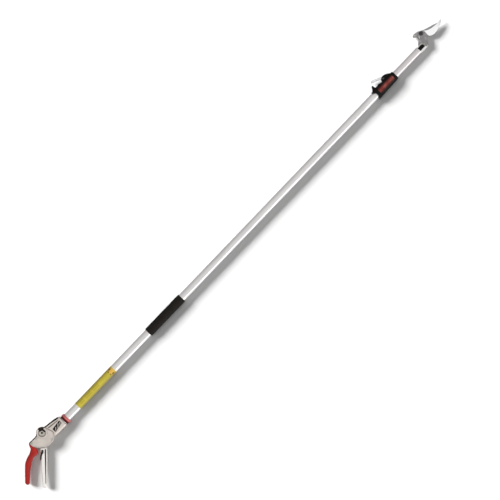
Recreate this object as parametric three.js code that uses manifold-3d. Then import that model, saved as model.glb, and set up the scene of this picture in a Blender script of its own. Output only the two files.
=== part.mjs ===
// Telescoping pole pruner: pistol-grip handle, two telescoping tubes, lever clamp and bypass cutting head.
// Shapes are laid out in millimetres from a datum on the pole axis, with +X towards the cutting head,
// +Y towards the branch hook and z = 0 on the axis. ORIGIN then moves everything so that the tool
// lies on z = 0 with the middle of its footprint at the origin.
import * as THREE from 'three';
import { mergeVertices } from 'three/addons/utils/BufferGeometryUtils.js';
import Module from 'manifold-3d';

const wasm = await Module();
wasm.setup();

// ---- driving dimensions -------------------------------------------------------------------------
const ORIGIN = [-700.645, 28.55, 17];
const ROUND = 40;
const SMALL = 20;
const CLOSEST = 0.12;

const OUTER_R = 12.5;
const OUTER_BORE = 11.3;
const OUTER_X = [-62, 1385];
const INNER_R = 11;
const INNER_BORE = 9.9;
const INNER_X = [95, 1534];
const SEAT_GAP = 0.05;

const LABEL_X = [33, 192];
const LABEL_R = 12.8;
const SLEEVE_X = [344, 491];
const SLEEVE_R = 15;

const PIVOT = [-100, 23];
const HUMP_R = 18;
const RECESS_R = 11.8;
const LEVER_SWING = 24;
const HALF_SWING = THREE.MathUtils.degToRad(LEVER_SWING / 2);
const STROKE_HALF = PIVOT[1] * Math.tan(HALF_SWING);
const DRIVE_PIN_X = PIVOT[0] - STROKE_HALF;
const LEVER_AIM = THREE.MathUtils.degToRad(-133);
const BODY_Z = [-17, 11.7];
const PLATE_Z = [12, 15.2];

const DRIVE_R = 5;
const DRIVE_BORE = 3.6;
const ROD_R = 3.2;

const LOCK_R = 17;
const LOCK_X = [1346, 1432];
const CLAMP_PIVOT = [1398, 19];

const BLADE_PIVOT = [1577, 30.5];
const TANG_REACH = 15;
const TANG_Y = BLADE_PIVOT[1] - TANG_REACH;
const TANG_X = BLADE_PIVOT[0] - STROKE_HALF;
const CUT_Z = [-3.3, -0.3];
const COUNTER_Z = [0, 3.3];
const TOP_Z = [3.6, 6.6];
const BASE_Z = [-8, -3.6];

// ---- colours ------------------------------------------------------------------------------------
const skins = {
  satin: [0xb9b7b5, 0.34, 0.9],
  cast: [0xaea69f, 0.45, 0.8],
  red: [0xb3281f, 0.42, 0],
  darkRed: [0x8e2420, 0.4, 0],
  yellow: [0xc9b843, 0.5, 0],
  foam: [0x2a2726, 0.85, 0],
  black: [0x1d1c1c, 0.55, 0],
  steel: [0x6d6a68, 0.4, 0.9],
  dark: [0x3b3a39, 0.45, 0.8],
  bright: [0xd9d7d4, 0.18, 1],
  zinc: [0xa5a19a, 0.35, 0.9],
};

const group = new THREE.Group();
group.name = 'telescoping_pole_pruner';

// ---- shape helpers ------------------------------------------------------------------------------

// Turns a three.js geometry into a closed solid, facing outwards.
function solid(geometry) {
  const bare = geometry.clone();
  bare.deleteAttribute('normal');
  bare.deleteAttribute('uv');
  const merged = mergeVertices(bare, 1e-4);
  const p = merged.attributes.position.array;
  const index = merged.index.array;
  const kept = [];
  let volume = 0;
  const a = new THREE.Vector3();
  const b = new THREE.Vector3();
  const c = new THREE.Vector3();
  for (let i = 0; i < index.length; i += 3) {
    const [u, v, w] = [index[i], index[i + 1], index[i + 2]];
    if (u === v || v === w || w === u) continue;
    kept.push(u, v, w);
    a.fromArray(p, 3 * u);
    b.fromArray(p, 3 * v);
    c.fromArray(p, 3 * w);
    volume += a.dot(b.cross(c));
  }
  if (volume < 0) kept.reverse();
  const mesh = new wasm.Mesh({
    numProp: 3,
    vertProperties: new Float32Array(p),
    triVerts: new Uint32Array(kept),
  });
  return new wasm.Manifold(mesh);
}

// Body of revolution about the pole axis from [x, radius] corners, closed on itself.
function turned(corners, segments = ROUND) {
  const profile = corners.map(([x, r]) => new THREE.Vector2(r, x));
  profile.push(profile[0].clone());
  const lathe = new THREE.LatheGeometry(profile, segments);
  lathe.rotateZ(-Math.PI / 2);
  lathe.rotateX(Math.PI / segments);
  return solid(lathe);
}

const ring = (x0, x1, inner, outer, segments = ROUND) =>
  turned([[x0, inner], [x1, inner], [x1, outer], [x0, outer]], segments);

const rod = (x0, x1, r, segments = ROUND) => turned([[x0, 0], [x1, 0], [x1, r], [x0, r]], segments);

// Upright cylinder.
function post([x, y], r, z0, z1, segments = SMALL) {
  const g = new THREE.CylinderGeometry(r, r, z1 - z0, segments);
  g.rotateX(Math.PI / 2);
  g.translate(x, y, (z0 + z1) / 2);
  return solid(g);
}

// Cylinder along +Y.
function cross([x, y0, z], r, y1, segments = SMALL) {
  const g = new THREE.CylinderGeometry(r, r, y1 - y0, segments);
  g.translate(x, (y0 + y1) / 2, z);
  return solid(g);
}

function block(low, high) {
  const g = new THREE.BoxGeometry(high[0] - low[0], high[1] - low[1], high[2] - low[2]);
  g.translate((low[0] + high[0]) / 2, (low[1] + high[1]) / 2, (low[2] + high[2]) / 2);
  return solid(g);
}

// Polygon whose corners [x, y, radius] are rounded.
function rounded(corners, steps = 4) {
  const out = [];
  const n = corners.length;
  for (let i = 0; i < n; i += 1) {
    const [x, y, r = 0] = corners[i];
    if (!r) {
      out.push([x, y]);
      continue;
    }
    const before = corners[(i + n - 1) % n];
    const after = corners[(i + 1) % n];
    const da = Math.hypot(before[0] - x, before[1] - y);
    const db = Math.hypot(after[0] - x, after[1] - y);
    const cut = Math.min(r, da * 0.48, db * 0.48);
    const a = [x + ((before[0] - x) * cut) / da, y + ((before[1] - y) * cut) / da];
    const b = [x + ((after[0] - x) * cut) / db, y + ((after[1] - y) * cut) / db];
    for (let k = 0; k <= steps; k += 1) {
      const t = k / steps;
      const s = 1 - t;
      out.push([s * s * a[0] + 2 * s * t * x + t * t * b[0], s * s * a[1] + 2 * s * t * y + t * t * b[1]]);
    }
  }
  return out;
}

// Moves each point of an outline inwards by a distance.
function shifted(points, distance) {
  const turn = THREE.ShapeUtils.area(points.map(([x, y]) => new THREE.Vector2(x, y))) > 0 ? 1 : -1;
  const n = points.length;
  return points.map(([x, y], i) => {
    const [ax, ay] = points[(i + n - 1) % n];
    const [bx, by] = points[(i + 1) % n];
    const length = Math.hypot(bx - ax, by - ay);
    return [x - (turn * distance * (by - ay)) / length, y + (turn * distance * (bx - ax)) / length];
  });
}

// Merges neighbouring points of an outline that would meet or cross once it is moved inwards.
function spaced(points, distance) {
  let kept = points;
  for (;;) {
    const moved = shifted(kept, distance);
    const n = kept.length;
    const crowded = kept.findIndex(([x, y], i) => {
      const j = (i + 1) % n;
      const [ex, ey] = [kept[j][0] - x, kept[j][1] - y];
      const [fx, fy] = [moved[j][0] - moved[i][0], moved[j][1] - moved[i][1]];
      return (ex * fx + ey * fy) / Math.hypot(ex, ey) < CLOSEST;
    });
    if (crowded < 0) return kept;
    const other = (crowded + 1) % n;
    const middle = [0, 1].map((k) => (kept[crowded][k] + kept[other][k]) / 2);
    kept = kept.map((p, i) => (i === crowded ? middle : p)).filter((_, i) => i !== other);
  }
}

const inset = (points, distance) => shifted(spaced(spaced(points, 0), distance), distance);

// Upright slab from an outline, with an optional rounded edge.
function slab(outline, z0, z1, edge = 0, edgeSteps = 2) {
  const apart = spaced(spaced(outline, 0), edge);
  const shape = new THREE.Shape(apart.map(([x, y]) => new THREE.Vector2(x, y)));
  const g = new THREE.ExtrudeGeometry(shape, {
    depth: z1 - z0 - 2 * edge,
    bevelEnabled: edge > 0,
    bevelThickness: edge,
    bevelSize: edge,
    bevelOffset: -edge,
    bevelSegments: edgeSteps,
    curveSegments: 1,
    steps: 1,
  });
  g.translate(0, 0, z0 + edge);
  return solid(g);
}

const disc = ([x, y], r, count = 32) =>
  Array.from({ length: count }, (_, i) => {
    const t = (2 * Math.PI * i) / count;
    return [x + r * Math.cos(t), y + r * Math.sin(t)];
  });

const join = (...parts) => parts.reduce((a, b) => a.add(b));
const cut = (part, ...tools) => tools.reduce((a, b) => a.subtract(b), part);

// Adds one finished piece to the tool.
function piece(name, shape, skin) {
  const moved = shape.translate(ORIGIN);
  const mesh = moved.getMesh();
  const g = new THREE.BufferGeometry();
  g.setAttribute('position', new THREE.BufferAttribute(new Float32Array(mesh.vertProperties), 3));
  g.setIndex(new THREE.BufferAttribute(new Uint32Array(mesh.triVerts), 1));
  const flat = g.toNonIndexed();
  flat.computeVertexNormals();
  const [color, roughness, metalness] = skins[skin];
  const out = new THREE.Mesh(flat, new THREE.MeshStandardMaterial({ color, roughness, metalness }));
  out.name = name;
  group.add(out);
}

// A point in the trigger lever's own directions: along the lever from its pivot, and across it.
function alongLever(s, w) {
  const c = Math.cos(LEVER_AIM);
  const d = Math.sin(LEVER_AIM);
  return [PIVOT[0] + s * c - w * d, PIVOT[1] + s * d + w * c];
}

// ---- pole ---------------------------------------------------------------------------------------

piece('outer_tube', ring(OUTER_X[0], OUTER_X[1], OUTER_BORE, OUTER_R), 'satin');
piece('pole_label', ring(LABEL_X[0], LABEL_X[1], OUTER_R + SEAT_GAP, LABEL_R), 'yellow');

const sleeveEnd = 1.8;
piece('grip_sleeve', turned([
  [SLEEVE_X[0], OUTER_R + SEAT_GAP],
  [SLEEVE_X[1], OUTER_R + SEAT_GAP],
  [SLEEVE_X[1], SLEEVE_R - sleeveEnd],
  [SLEEVE_X[1] - sleeveEnd * 0.3, SLEEVE_R - sleeveEnd * 0.3],
  [SLEEVE_X[1] - sleeveEnd, SLEEVE_R],
  [SLEEVE_X[0] + sleeveEnd, SLEEVE_R],
  [SLEEVE_X[0] + sleeveEnd * 0.3, SLEEVE_R - sleeveEnd * 0.3],
  [SLEEVE_X[0], SLEEVE_R - sleeveEnd],
]), 'foam');

piece('inner_tube', ring(INNER_X[0], INNER_X[1], INNER_BORE, INNER_R), 'satin');
piece('inner_tail_bush', turned([
  [INNER_X[0] - 6, 6.2],
  [INNER_X[0] + 12, 6.2],
  [INNER_X[0] + 12, INNER_BORE - SEAT_GAP],
  [INNER_X[0] - 0.3, INNER_BORE - SEAT_GAP],
  [INNER_X[0] - 0.3, INNER_R + 0.1],
  [INNER_X[0] - 6, INNER_R + 0.1],
]), 'black');

// ---- handle -------------------------------------------------------------------------------------

piece('front_collar', turned([
  [-27.6, OUTER_R + SEAT_GAP],
  [-13, OUTER_R + SEAT_GAP],
  [-13, 13.6],
  [-14.2, 14.9],
  [-16, 16.5],
  [-18.5, 17],
  [-21.5, 17],
  [-24, 16.6],
  [-27.6, 15.8],
]), 'darkRed');

const plateOutline = rounded([
  [-151, 31, 3],
  [-119, 30.2, 6],
  [-113, 37, 5],
  [-105, 41.2, 4],
  [-95, 41.2, 4],
  [-87.4, 36, 4],
  [-83, 29, 3],
  [-76.5, 12, 6],
  [-73.6, 0, 6],
  [-80, -9.4, 5],
  [-89, -16.4, 6],
  [-100, -20, 6],
  [-111, -19.6, 6],
  [-123, -15, 6],
  [-134, -7, 6],
  [-143, 3, 6],
  [-150, 14, 4],
], 2);

const neckOutline = rounded([
  [-92, 20, 3],
  [-86, 31.5, 5],
  [-76, 30, 6],
  [-56, 27.4, 8],
  [-39, 24.6, 8],
  [-28, 19.4, 5],
  [-28, -15.2, 5],
  [-72, -14.6, 5],
  [-84, -11, 4],
], 2);

const tang = rounded([
  [-146, 26],
  [-154, 22, 2],
  [-163, 5, 8],
  [-184, -1.4, 8],
  [-202, -9, 8],
  [-229, -33, 2],
  [-226, -38, 2],
  [-202, -16, 8],
  [-184, -8.4, 8],
  [-162, -3, 8],
  [-146, 6],
], 3);

const leverSweep = [
  alongLever(6, -13.5),
  alongLever(70, -12.5),
  [PIVOT[0] - 70, PIVOT[1] - 96],
  [PIVOT[0] + 12, PIVOT[1] - 96],
  [PIVOT[0] + 7, PIVOT[1] - 30],
  [PIVOT[0] + 12, PIVOT[1] - 4],
];

const screwSpots = [[-143.5, 23.5], [-123.5, 24], [-93, -12.6]];

let body = slab(inset(plateOutline, 0.6), BODY_Z[0], BODY_Z[1], 1.6, 1);
body = cut(body, slab(inset(plateOutline, 4.2), -13, 20));
body = join(body, slab(neckOutline, -15.6, 15.6, 4, 2));
body = cut(
  body,
  slab(inset(plateOutline, 4.2), -13, PLATE_Z[0] - 0.2),
  slab(inset(plateOutline, -0.4), PLATE_Z[0] - 0.25, 30),
  rod(-90, -60, OUTER_BORE, 32),
  rod(OUTER_X[0] - 0.3, 10, OUTER_R + SEAT_GAP),
);
body = join(body, post(PIVOT, 12, -13.5, -8), ...screwSpots.map((at) => post(at, 4.2, -13.5, BODY_Z[1])));
body = cut(
  body,
  slab(leverSweep, -8.9, 8.9),
  post(PIVOT, 4.1, -30, 0, 32),
  post(PIVOT, 9.2, -30, -12.5, 32),
  ...screwSpots.map((at) => post(at, 1.6, 3, 20, 16)),
);
// Shallow panel with two raised bars on the neck's upper face, and a groove along its flank.
body = cut(body, slab(rounded([[-69, 11, 2], [-38, 10, 2], [-38, -6, 2], [-69, -6, 2]], 2), 14.4, 20));
body = join(
  body,
  slab(rounded([[-65, 7.6, 1], [-42, 6.8, 1], [-42, 4, 1], [-65, 4, 1]], 2), 14, 15.3),
  slab(rounded([[-65, 1, 1], [-42, 1, 1], [-42, -2.4, 1], [-65, -2.4, 1]], 2), 14, 15.3),
);
body = cut(body, slab(rounded([[-72, 22, 1], [-38, 18.4, 1], [-38, 15.6, 1], [-72, 18.6, 1]], 2), 12.6, 20));
body = join(body, slab(tang, -4, 4));
piece('handle_body', body, 'cast');

let plate = slab(plateOutline, PLATE_Z[0], PLATE_Z[1], 1.1, 1);
plate = join(
  plate,
  slab(rounded([
    [-119, 30.2, 6],
    [-113, 37, 5],
    [-105, 41.2, 4],
    [-95, 41.2, 4],
    [-87.4, 36, 4],
    [-83, 29, 3],
    [-84, 18, 5],
    [-92, 9, 5],
    [-106, 8, 5],
    [-116, 16, 5],
  ], 2), PLATE_Z[0] + 0.4, 16.8, 1.2),
  post(PIVOT, 13, 7.9, PLATE_Z[1], 32),
);
const rimOuter = slab(inset(plateOutline, 0.9), PLATE_Z[1] - 0.6, PLATE_Z[1] + 0.8, 0.4, 1);
const rimInner = slab(inset(plateOutline, 3.6), 0, 30);
plate = join(plate, cut(rimOuter, rimInner));
plate = cut(
  plate,
  post(PIVOT, RECESS_R, 9.9, 30, 32),
  post(PIVOT, 4.1, 0, 30, 32),
  ...screwSpots.map((at) => post(at, 1.9, 0, 30, 16)),
  ...screwSpots.map((at) => post(at, 3.6, PLATE_Z[1] - 1.4, 30, 16)),
);
piece('handle_side_plate', plate, 'cast');

screwSpots.forEach((at, i) => {
  const head = post(at, 3.3, PLATE_Z[1] - 1.3, PLATE_Z[1] + 0.1, 16);
  const slotAcross = block([at[0] - 5, at[1] - 0.45, PLATE_Z[1] - 0.6], [at[0] + 5, at[1] + 0.45, 30]);
  piece(`plate_screw_${i + 1}`, cut(join(head, post(at, 1.5, 4, PLATE_Z[1] - 1, 16)), slotAcross), 'zinc');
});

// Grip sections from the casting to the free end: a point on each edge, and half the thickness.
const gripSections = [
  [-151.6, 31.4, -145.4, -1.6, 12.4],
  [-157, 24, -151.4, -9.6, 12.4],
  [-161.6, 13.8, -161, -12.2, 12],
  [-173, 7.4, -172, -11.6, 11.6],
  [-188, 3, -186, -16.2, 11.4],
  [-203, -3.4, -199, -24.6, 11.4],
  [-219, -17.2, -212, -33.8, 11.2],
  [-234, -32.4, -226, -46, 10.8],
  [-247, -45.4, -238.6, -56.4, 10.2],
  [-250, -49.4, -242.4, -57.6, 8.4],
  [-249.4, -52.6, -246, -56.2, 4.2],
];
const gripAround = 20;
const gripAlong = 24;

// Sweep of rounded sections: every ring of a cylinder is carried to a place along the sections.
function swept(sections, around, along) {
  const track = [0, 2].map((k) => new THREE.CatmullRomCurve3(
    sections.map((row) => new THREE.Vector3(row[k], row[k + 1], row[4])),
    false,
    'centripetal',
  ));
  const g = new THREE.CylinderGeometry(1, 1, 1, around, along);
  const p = g.attributes.position;
  for (let i = 0; i < p.count; i += 1) {
    const t = THREE.MathUtils.clamp(0.5 - p.getY(i), 0, 1);
    const [a, b] = track.map((curve) => curve.getPoint(t));
    const across = p.getX(i) / 2;
    p.setXYZ(
      i,
      (a.x + b.x) / 2 + (a.x - b.x) * across,
      (a.y + b.y) / 2 + (a.y - b.y) * across,
      p.getZ(i) * a.z,
    );
  }
  return solid(g);
}
const gripSolid = swept(gripSections, gripAround, gripAlong);
const clearOfBody = slab(inset(plateOutline, -0.35), -30, 30);
piece('handle_grip', cut(gripSolid, clearOfBody, slab(inset(tang, -0.15), -4.15, 4.15)), 'red');

piece('pivot_bolt', cut(
  join(post(PIVOT, 4, -16, 10.5, 32), post(PIVOT, 7, 10, 14.4, 32)),
  post(PIVOT, 3.2, 12, 30, 6),
), 'zinc');
piece('pivot_nut', cut(post(PIVOT, 7.4, -16.8, -12.6, 6), post(PIVOT, 4.05, -30, 0, 32)), 'zinc');

const neckScrew = [-50, -15];
piece('neck_screw', cut(
  cross([neckScrew[0], -16.9, 0], 3, -15.5),
  block([neckScrew[0] - 5, -30, -0.45], [neckScrew[0] + 5, -16.3, 0.45]),
), 'dark');

// ---- trigger ------------------------------------------------------------------------------------

const leverWeb = rounded([
  alongLever(-9, -9),
  alongLever(-9, 9),
  alongLever(20, 11.4),
  alongLever(60, 9.6),
  alongLever(78, 8),
  alongLever(78, -6),
  alongLever(60, -7),
  alongLever(20, -9.6),
].map((p, i) => [...p, [8, 8, 8, 8, 2, 2, 8, 8][i]]), 3);
const thickLever = rounded([
  alongLever(47, 12.3),
  alongLever(100, 10.2),
  alongLever(140, 7.4),
  alongLever(166, 5.4),
  alongLever(169, 1),
  alongLever(168, -5.5),
  alongLever(160, -7.8),
  alongLever(120, -9),
  alongLever(47, -9.6),
].map((p, i) => [...p, [3, 8, 8, 4, 3, 4, 5, 12, 3][i]]), 3);
const leverPocket = rounded([
  alongLever(54, 9.9),
  alongLever(100, 8),
  alongLever(150, 4.4),
  alongLever(146, 2),
  alongLever(100, 3),
  alongLever(54, 4.2),
].map((p, i) => [...p, [2, 8, 1, 1, 8, 2][i]]), 3);
const restLean = -Math.PI / 2 - HALF_SWING;
const slotReach = PIVOT[1] * 1.011;
const armAt = (s, w) => [
  PIVOT[0] + s * Math.cos(restLean) - w * Math.sin(restLean),
  PIVOT[1] + s * Math.sin(restLean) + w * Math.cos(restLean),
];
const arm = rounded([
  armAt(0, -7),
  armAt(slotReach + 6, -6),
  armAt(slotReach + 6, 6),
  armAt(0, 7),
].map((p, i) => [...p, [0, 5, 5, 0][i]]), 3);
const slot = rounded([
  armAt(slotReach - 3.2, -2.7),
  armAt(slotReach + 3.2, -2.7),
  armAt(slotReach + 3.2, 2.7),
  armAt(slotReach - 3.2, 2.7),
].map((p) => [...p, 1.2]), 2);
const webZ = 3;
let lever = join(
  slab(leverWeb, -webZ, webZ),
  slab(arm, -webZ, webZ),
  post(PIVOT, 10, -7.6, 7.6, 32),
  slab(thickLever, -8, 8, 2.6, 2),
);
lever = cut(
  lever,
  post(PIVOT, 4.1, -30, 30, 32),
  slab(slot, -30, 30),
  slab(leverPocket, webZ, 30),
  slab(leverPocket, -30, -webZ),
);
piece('trigger_lever', lever, 'satin');

const latchPin = alongLever(56.5, -2);
const latchAt = (s, w) => alongLever(56.5 + s, -2 + w);
const latchOutline = rounded([
  latchAt(-5, 3.6),
  latchAt(4, 4),
  latchAt(12, -1.6),
  latchAt(27, -4.6),
  latchAt(29, -7),
  latchAt(26, -9.4),
  latchAt(12, -8.4),
  latchAt(3, -5.2),
  latchAt(-5, -3.6),
].map((p) => [...p, 3]), 3);
piece('safety_latch', cut(slab(latchOutline, 8.4, 11.2, 0.6, 1), post(latchPin, 1.75, 0, 30)), 'black');
piece('latch_pin', join(post(latchPin, 1.7, 8.1, 11.2), post(latchPin, 3, 11.4, 12.4), post(latchPin, 1.7, 11, 11.6)), 'dark');

const clevisX = (x) => DRIVE_PIN_X + x;
const clevis = cut(
  join(
    slab(rounded([
      [clevisX(-6), -5.5, 4],
      [clevisX(20), -5.5, 1],
      [clevisX(20), 5.5, 1],
      [clevisX(-6), 5.5, 4],
    ], 3), -6.4, 6.4),
    rod(clevisX(18), clevisX(26), 6.4, 24),
  ),
  block([clevisX(-30), -20, -3.35], [clevisX(9.5), 20, 3.35]),
  post([DRIVE_PIN_X, 0], 2.45, -30, 30),
  rod(clevisX(15), clevisX(40), DRIVE_R + SEAT_GAP, 32),
);
piece('drive_clevis', clevis, 'steel');
piece('drive_pin', post([DRIVE_PIN_X, 0], 2.4, -6.9, 6.9), 'bright');

const driveEnd = 1232;
piece('drive_tube', ring(clevisX(15.3), driveEnd, DRIVE_BORE, DRIVE_R, 32), 'zinc');
piece('drive_end_sleeve', ring(driveEnd - 36, driveEnd + 2, DRIVE_R + SEAT_GAP, 8.6, 32), 'steel');
const springX = [-52, -18];
piece('spring_seat', ring(springX[0] - 5, springX[0] - 0.4, DRIVE_R + 0.4, OUTER_BORE - SEAT_GAP, 32), 'black');
piece('spring_collar', ring(springX[1] + 0.4, springX[1] + 5, DRIVE_R + SEAT_GAP, 9.6, 32), 'steel');

class Coil extends THREE.Curve {
  constructor(x0, x1, radius, turns) {
    super();
    Object.assign(this, { x0, x1, radius, turns });
  }

  getPoint(t, target = new THREE.Vector3()) {
    const a = 2 * Math.PI * this.turns * t;
    return target.set(this.x0 + (this.x1 - this.x0) * t, this.radius * Math.cos(a), this.radius * Math.sin(a));
  }
}
const wire = new THREE.Shape(disc([0, 0], 0.8, 5).map(([x, y]) => new THREE.Vector2(x, y)));
const coil = new THREE.ExtrudeGeometry(wire, {
  steps: 66,
  bevelEnabled: false,
  curveSegments: 1,
  extrudePath: new Coil(springX[0] + 1.2, springX[1] - 1.2, 7.6, 6),
});
piece('return_spring', solid(coil), 'steel');

// ---- clamp lock ---------------------------------------------------------------------------------

const lockShell = cut(
  turned([
    [LOCK_X[0] - 6, 11],
    [LOCK_X[1], 11],
    [LOCK_X[1], 13.6],
    [LOCK_X[1] - 2, 14.6],
    [1408, 15.4],
    [1386, 16],
    [1366, LOCK_R],
    [1352, LOCK_R],
    [LOCK_X[0] - 6, 19.2],
  ]),
  block([LOCK_X[0] - 30, 14.6, -40], [1352, 40, 40]),
);
let lock = join(
  lockShell,
  slab(rounded([[1345, 8], [1345.4, 13.6, 1], [1350.4, 18.4, 3], [1356.4, 27.4, 1.4], [1359.4, 27, 1.2], [1361.4, 17, 3], [1363.4, 13.4, 2], [1363, 8]], 3), -6, 6, 0.8, 1),
  slab(rounded([
    [1386, 6],
    [1388.5, 14, 2],
    [1391, 21, 3],
    [1395, 24.4, 3],
    [1401, 26, 3],
    [1408, 25, 4],
    [1416, 21.4, 4],
    [1424, 15, 3],
    [1431, 11, 3],
    [1431, 6],
  ], 3), -9.5, 9.5, 1.2, 1),
);
const lockLowCut = block([LOCK_X[0] - 30, -40, -40], [LOCK_X[1] + 30, 40, -LOCK_R]);
lock = cut(
  lock,
  lockLowCut,
  slab(disc([1328, -3], 22, 40), -40, 40),
  rod(LOCK_X[0] - 30, OUTER_X[1] + 0.3, OUTER_R + SEAT_GAP),
  rod(OUTER_X[1] - 1, LOCK_X[1] + 30, INNER_R + 0.3),
);
const coverOutline = rounded([
  [1361, 10, 5],
  [1421, 9, 5],
  [1421, -9, 5],
  [1361, -10, 5],
], 4);
lock = cut(lock, slab(inset(coverOutline, -0.3), 12.95, 40));
const leverBay = rounded([
  [1358, 40],
  [1367, 22, 2],
  [1370, 18.6, 3],
  [1380, 18.4, 3],
  [1388, 14.8, 2],
  [1404, 14.2, 4],
  [1408.6, 19, 4],
  [1408.6, 28, 2],
  [1400, 40],
], 3);
lock = join(lock, slab(rounded([[1368, 14], [1369.6, 16.4, 2], [1372.6, 18, 2], [1378, 17.8, 2], [1383, 14.6, 2], [1383, 14]], 3), -6, 6, 0.6, 1));
lock = cut(
  lock,
  slab(leverBay, -5.4, 5.4),
  cross([CLAMP_PIVOT[0], 5, 0], 4.2, 20),
  post(CLAMP_PIVOT, 1.95, -30, 30),
);
piece('lock_body', lock, 'black');
piece('lock_cover', slab(coverOutline, 13, 19, 2.2, 3), 'darkRed');

const clampArm = rounded([
  [1400.6, 20.4, 1],
  [1399.4, 23, 2],
  [1396.4, 27, 3],
  [1388, 31.4, 6],
  [1373, 38, 5],
  [1366, 39.4, 4],
  [1362.4, 35.2, 3],
  [1367, 32.6, 3],
  [1379, 28.8, 5],
  [1389.4, 22.6, 4],
  [1394.8, 17.4, 2],
  [1398, 16, 1],
], 3);
const clampHub = slab(disc(CLAMP_PIVOT, 4.1, 24), -4.6, 4.6);
piece('lock_lever', cut(join(slab(clampArm, -5, 5, 1.4, 2), clampHub), post(CLAMP_PIVOT, 1.95, -30, 30)), 'bright');
piece('lock_pin', join(post(CLAMP_PIVOT, 1.9, -9.9, 9.9), post(CLAMP_PIVOT, 2.9, 9.7, 10.6)), 'dark');
piece('lock_pad', cross([CLAMP_PIVOT[0], INNER_R + 0.25, 0], 4, 13.9), 'steel');

// ---- drive rod and head -------------------------------------------------------------------------

piece('drive_rod', rod(INNER_X[0] + 17, 1541, ROD_R, 32), 'bright');
const rodEnd = cut(
  slab(rounded([
    [1536.5, -4.6, 1],
    [1558, -4.6, 1.5],
    [1558, 3, 2],
    [1554.6, 6.8, 2],
    [1536.5, 6.8, 1],
  ], 2), -3.3, 3.3, 0.5, 1),
  rod(1520, 1541.3, ROD_R + SEAT_GAP, 32),
);
piece('rod_end', rodEnd, 'black');

const tongueTip = disc([TANG_X, TANG_Y], 4.6, 24);
const tongue = cut(
  join(
    slab(rounded([
      [1558.4, -4.4],
      [1562, -4.4, 3],
      [TANG_X + 3.4, TANG_Y - 3.6],
      [TANG_X - 3.6, TANG_Y + 3.4],
      [1558.4, 5],
    ], 2), 0.4, 3),
    slab(tongueTip, 0.4, 3),
  ),
  post([TANG_X, TANG_Y], 2.05, -30, 30),
);
piece('rod_tongue', tongue, 'steel');
piece('tang_pin', post([TANG_X, TANG_Y], 2, -3.2, 2.9), 'bright');

const topOutline = rounded([
  [1544, 9.6, 2],
  [1549.6, 15.4, 3],
  [1555.4, 20.4, 4],
  [1559.6, 26, 4],
  [1559.4, 32, 3],
  [1552.4, 37.6, 1],
  [1552, 40.4, 1],
  [1558, 45, 3],
  [1573, 43, 5],
  [1582, 37.4, 5],
  [1590, 27, 3],
  [1587.4, 17, 5],
  [1582.4, 9.6, 4],
  [1577, 3, 4],
  [1573, -2.6, 4],
  [1567.4, -11.6, 2],
  [1561.6, -11.8, 2],
  [1560.6, -6, 2],
  [1560.4, 8, 3],
  [1556, 9.8, 2],
], 3);
const neckFloor = rounded([
  [1534.2, -11.6, 1],
  [1568, -11.8, 2],
  [1577, 3, 4],
  [1587.4, 17, 5],
  [1590, 27, 3],
  [1582, 37.4, 5],
  [1573, 43, 5],
  [1558, 45, 3],
  [1552, 40.4, 1],
  [1552.4, 37.6, 1],
  [1559.4, 32, 3],
  [1559.6, 26, 4],
  [1549.6, 15.4, 3],
  [1543, 9.6, 2],
  [1534.2, 9.6, 1],
], 3);
let frame = slab(neckFloor, BASE_Z[0], BASE_Z[1], 0.9, 1);
frame = join(
  frame,
  rod(1500, INNER_X[1] - 0.3, INNER_BORE - SEAT_GAP, 40),
  rod(INNER_X[1] + 0.1, 1537, INNER_R, 40),
  rod(INNER_X[1] - 1, INNER_X[1] + 1, INNER_BORE - SEAT_GAP, 40),
  block([1534.2, -11.4, BASE_Z[0] + 0.2], [1561.6, -5.8, TOP_Z[0] - 0.4]),
  slab(rounded([[1552.8, 37.8, 1], [1552.6, 40, 1], [1558.2, 44.4, 3], [1566, 43.4, 2], [1562, 34]], 3), BASE_Z[0] + 0.4, TOP_Z[0] - 0.1),
);
frame = cut(
  frame,
  rod(1490, 1540, ROD_R + 0.35, 32),
  block([1536.2, -5.5, BASE_Z[1]], [1600, 9, 30]),
  post(BLADE_PIVOT, 3.1, -30, 30),
);
piece('head_frame', frame, 'steel');

const rivetSpots = [[1564.6, -8.6], [1558.6, 40]];
const topPlate = cut(
  slab(topOutline, TOP_Z[0], TOP_Z[1], 0.8, 1),
  post(BLADE_PIVOT, 3.1, -30, 30),
  block([1561, 24.8, 5.6], [1568.6, 28.8, 30]),
  ...rivetSpots.map((at) => post(at, 2.6, TOP_Z[1] - 0.7, 30)),
);
piece('head_top_plate', topPlate, 'steel');
rivetSpots.forEach((at, i) => {
  piece(`head_rivet_${i + 1}`, post(at, 2.5, TOP_Z[1] - 0.65, TOP_Z[1] + 0.7), 'zinc');
});

const counterOutline = rounded([
  [1569, 25, 4],
  [1570, 36, 5],
  [1578, 39.4, 5],
  [1585.4, 34.4, 4],
  [1592.4, 28, 3],
  [1600, 23.2, 5],
  [1609, 20, 5],
  [1620, 17.9, 5],
  [1633, 16.8, 5],
  [1645, 17.6, 3],
  [1651, 18.2, 1.2],
  [1651.6, 16.6, 1],
  [1644, 10.6, 4],
  [1634, 6.4, 5],
  [1625, 3.2, 6],
  [1616, 1.4, 6],
  [1606, 1.2, 6],
  [1597, 3.2, 5],
  [1589.6, 7.2, 3],
  [1588.4, 12, 3],
  [1588.4, 20, 2],
  [1583, 21.8, 2],
  [1574, 21.6, 3],
], 3);
piece('counter_blade', cut(slab(counterOutline, COUNTER_Z[0], COUNTER_Z[1], 0.5, 1), post(BLADE_PIVOT, 3.1, -30, 30)), 'bright');

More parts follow.
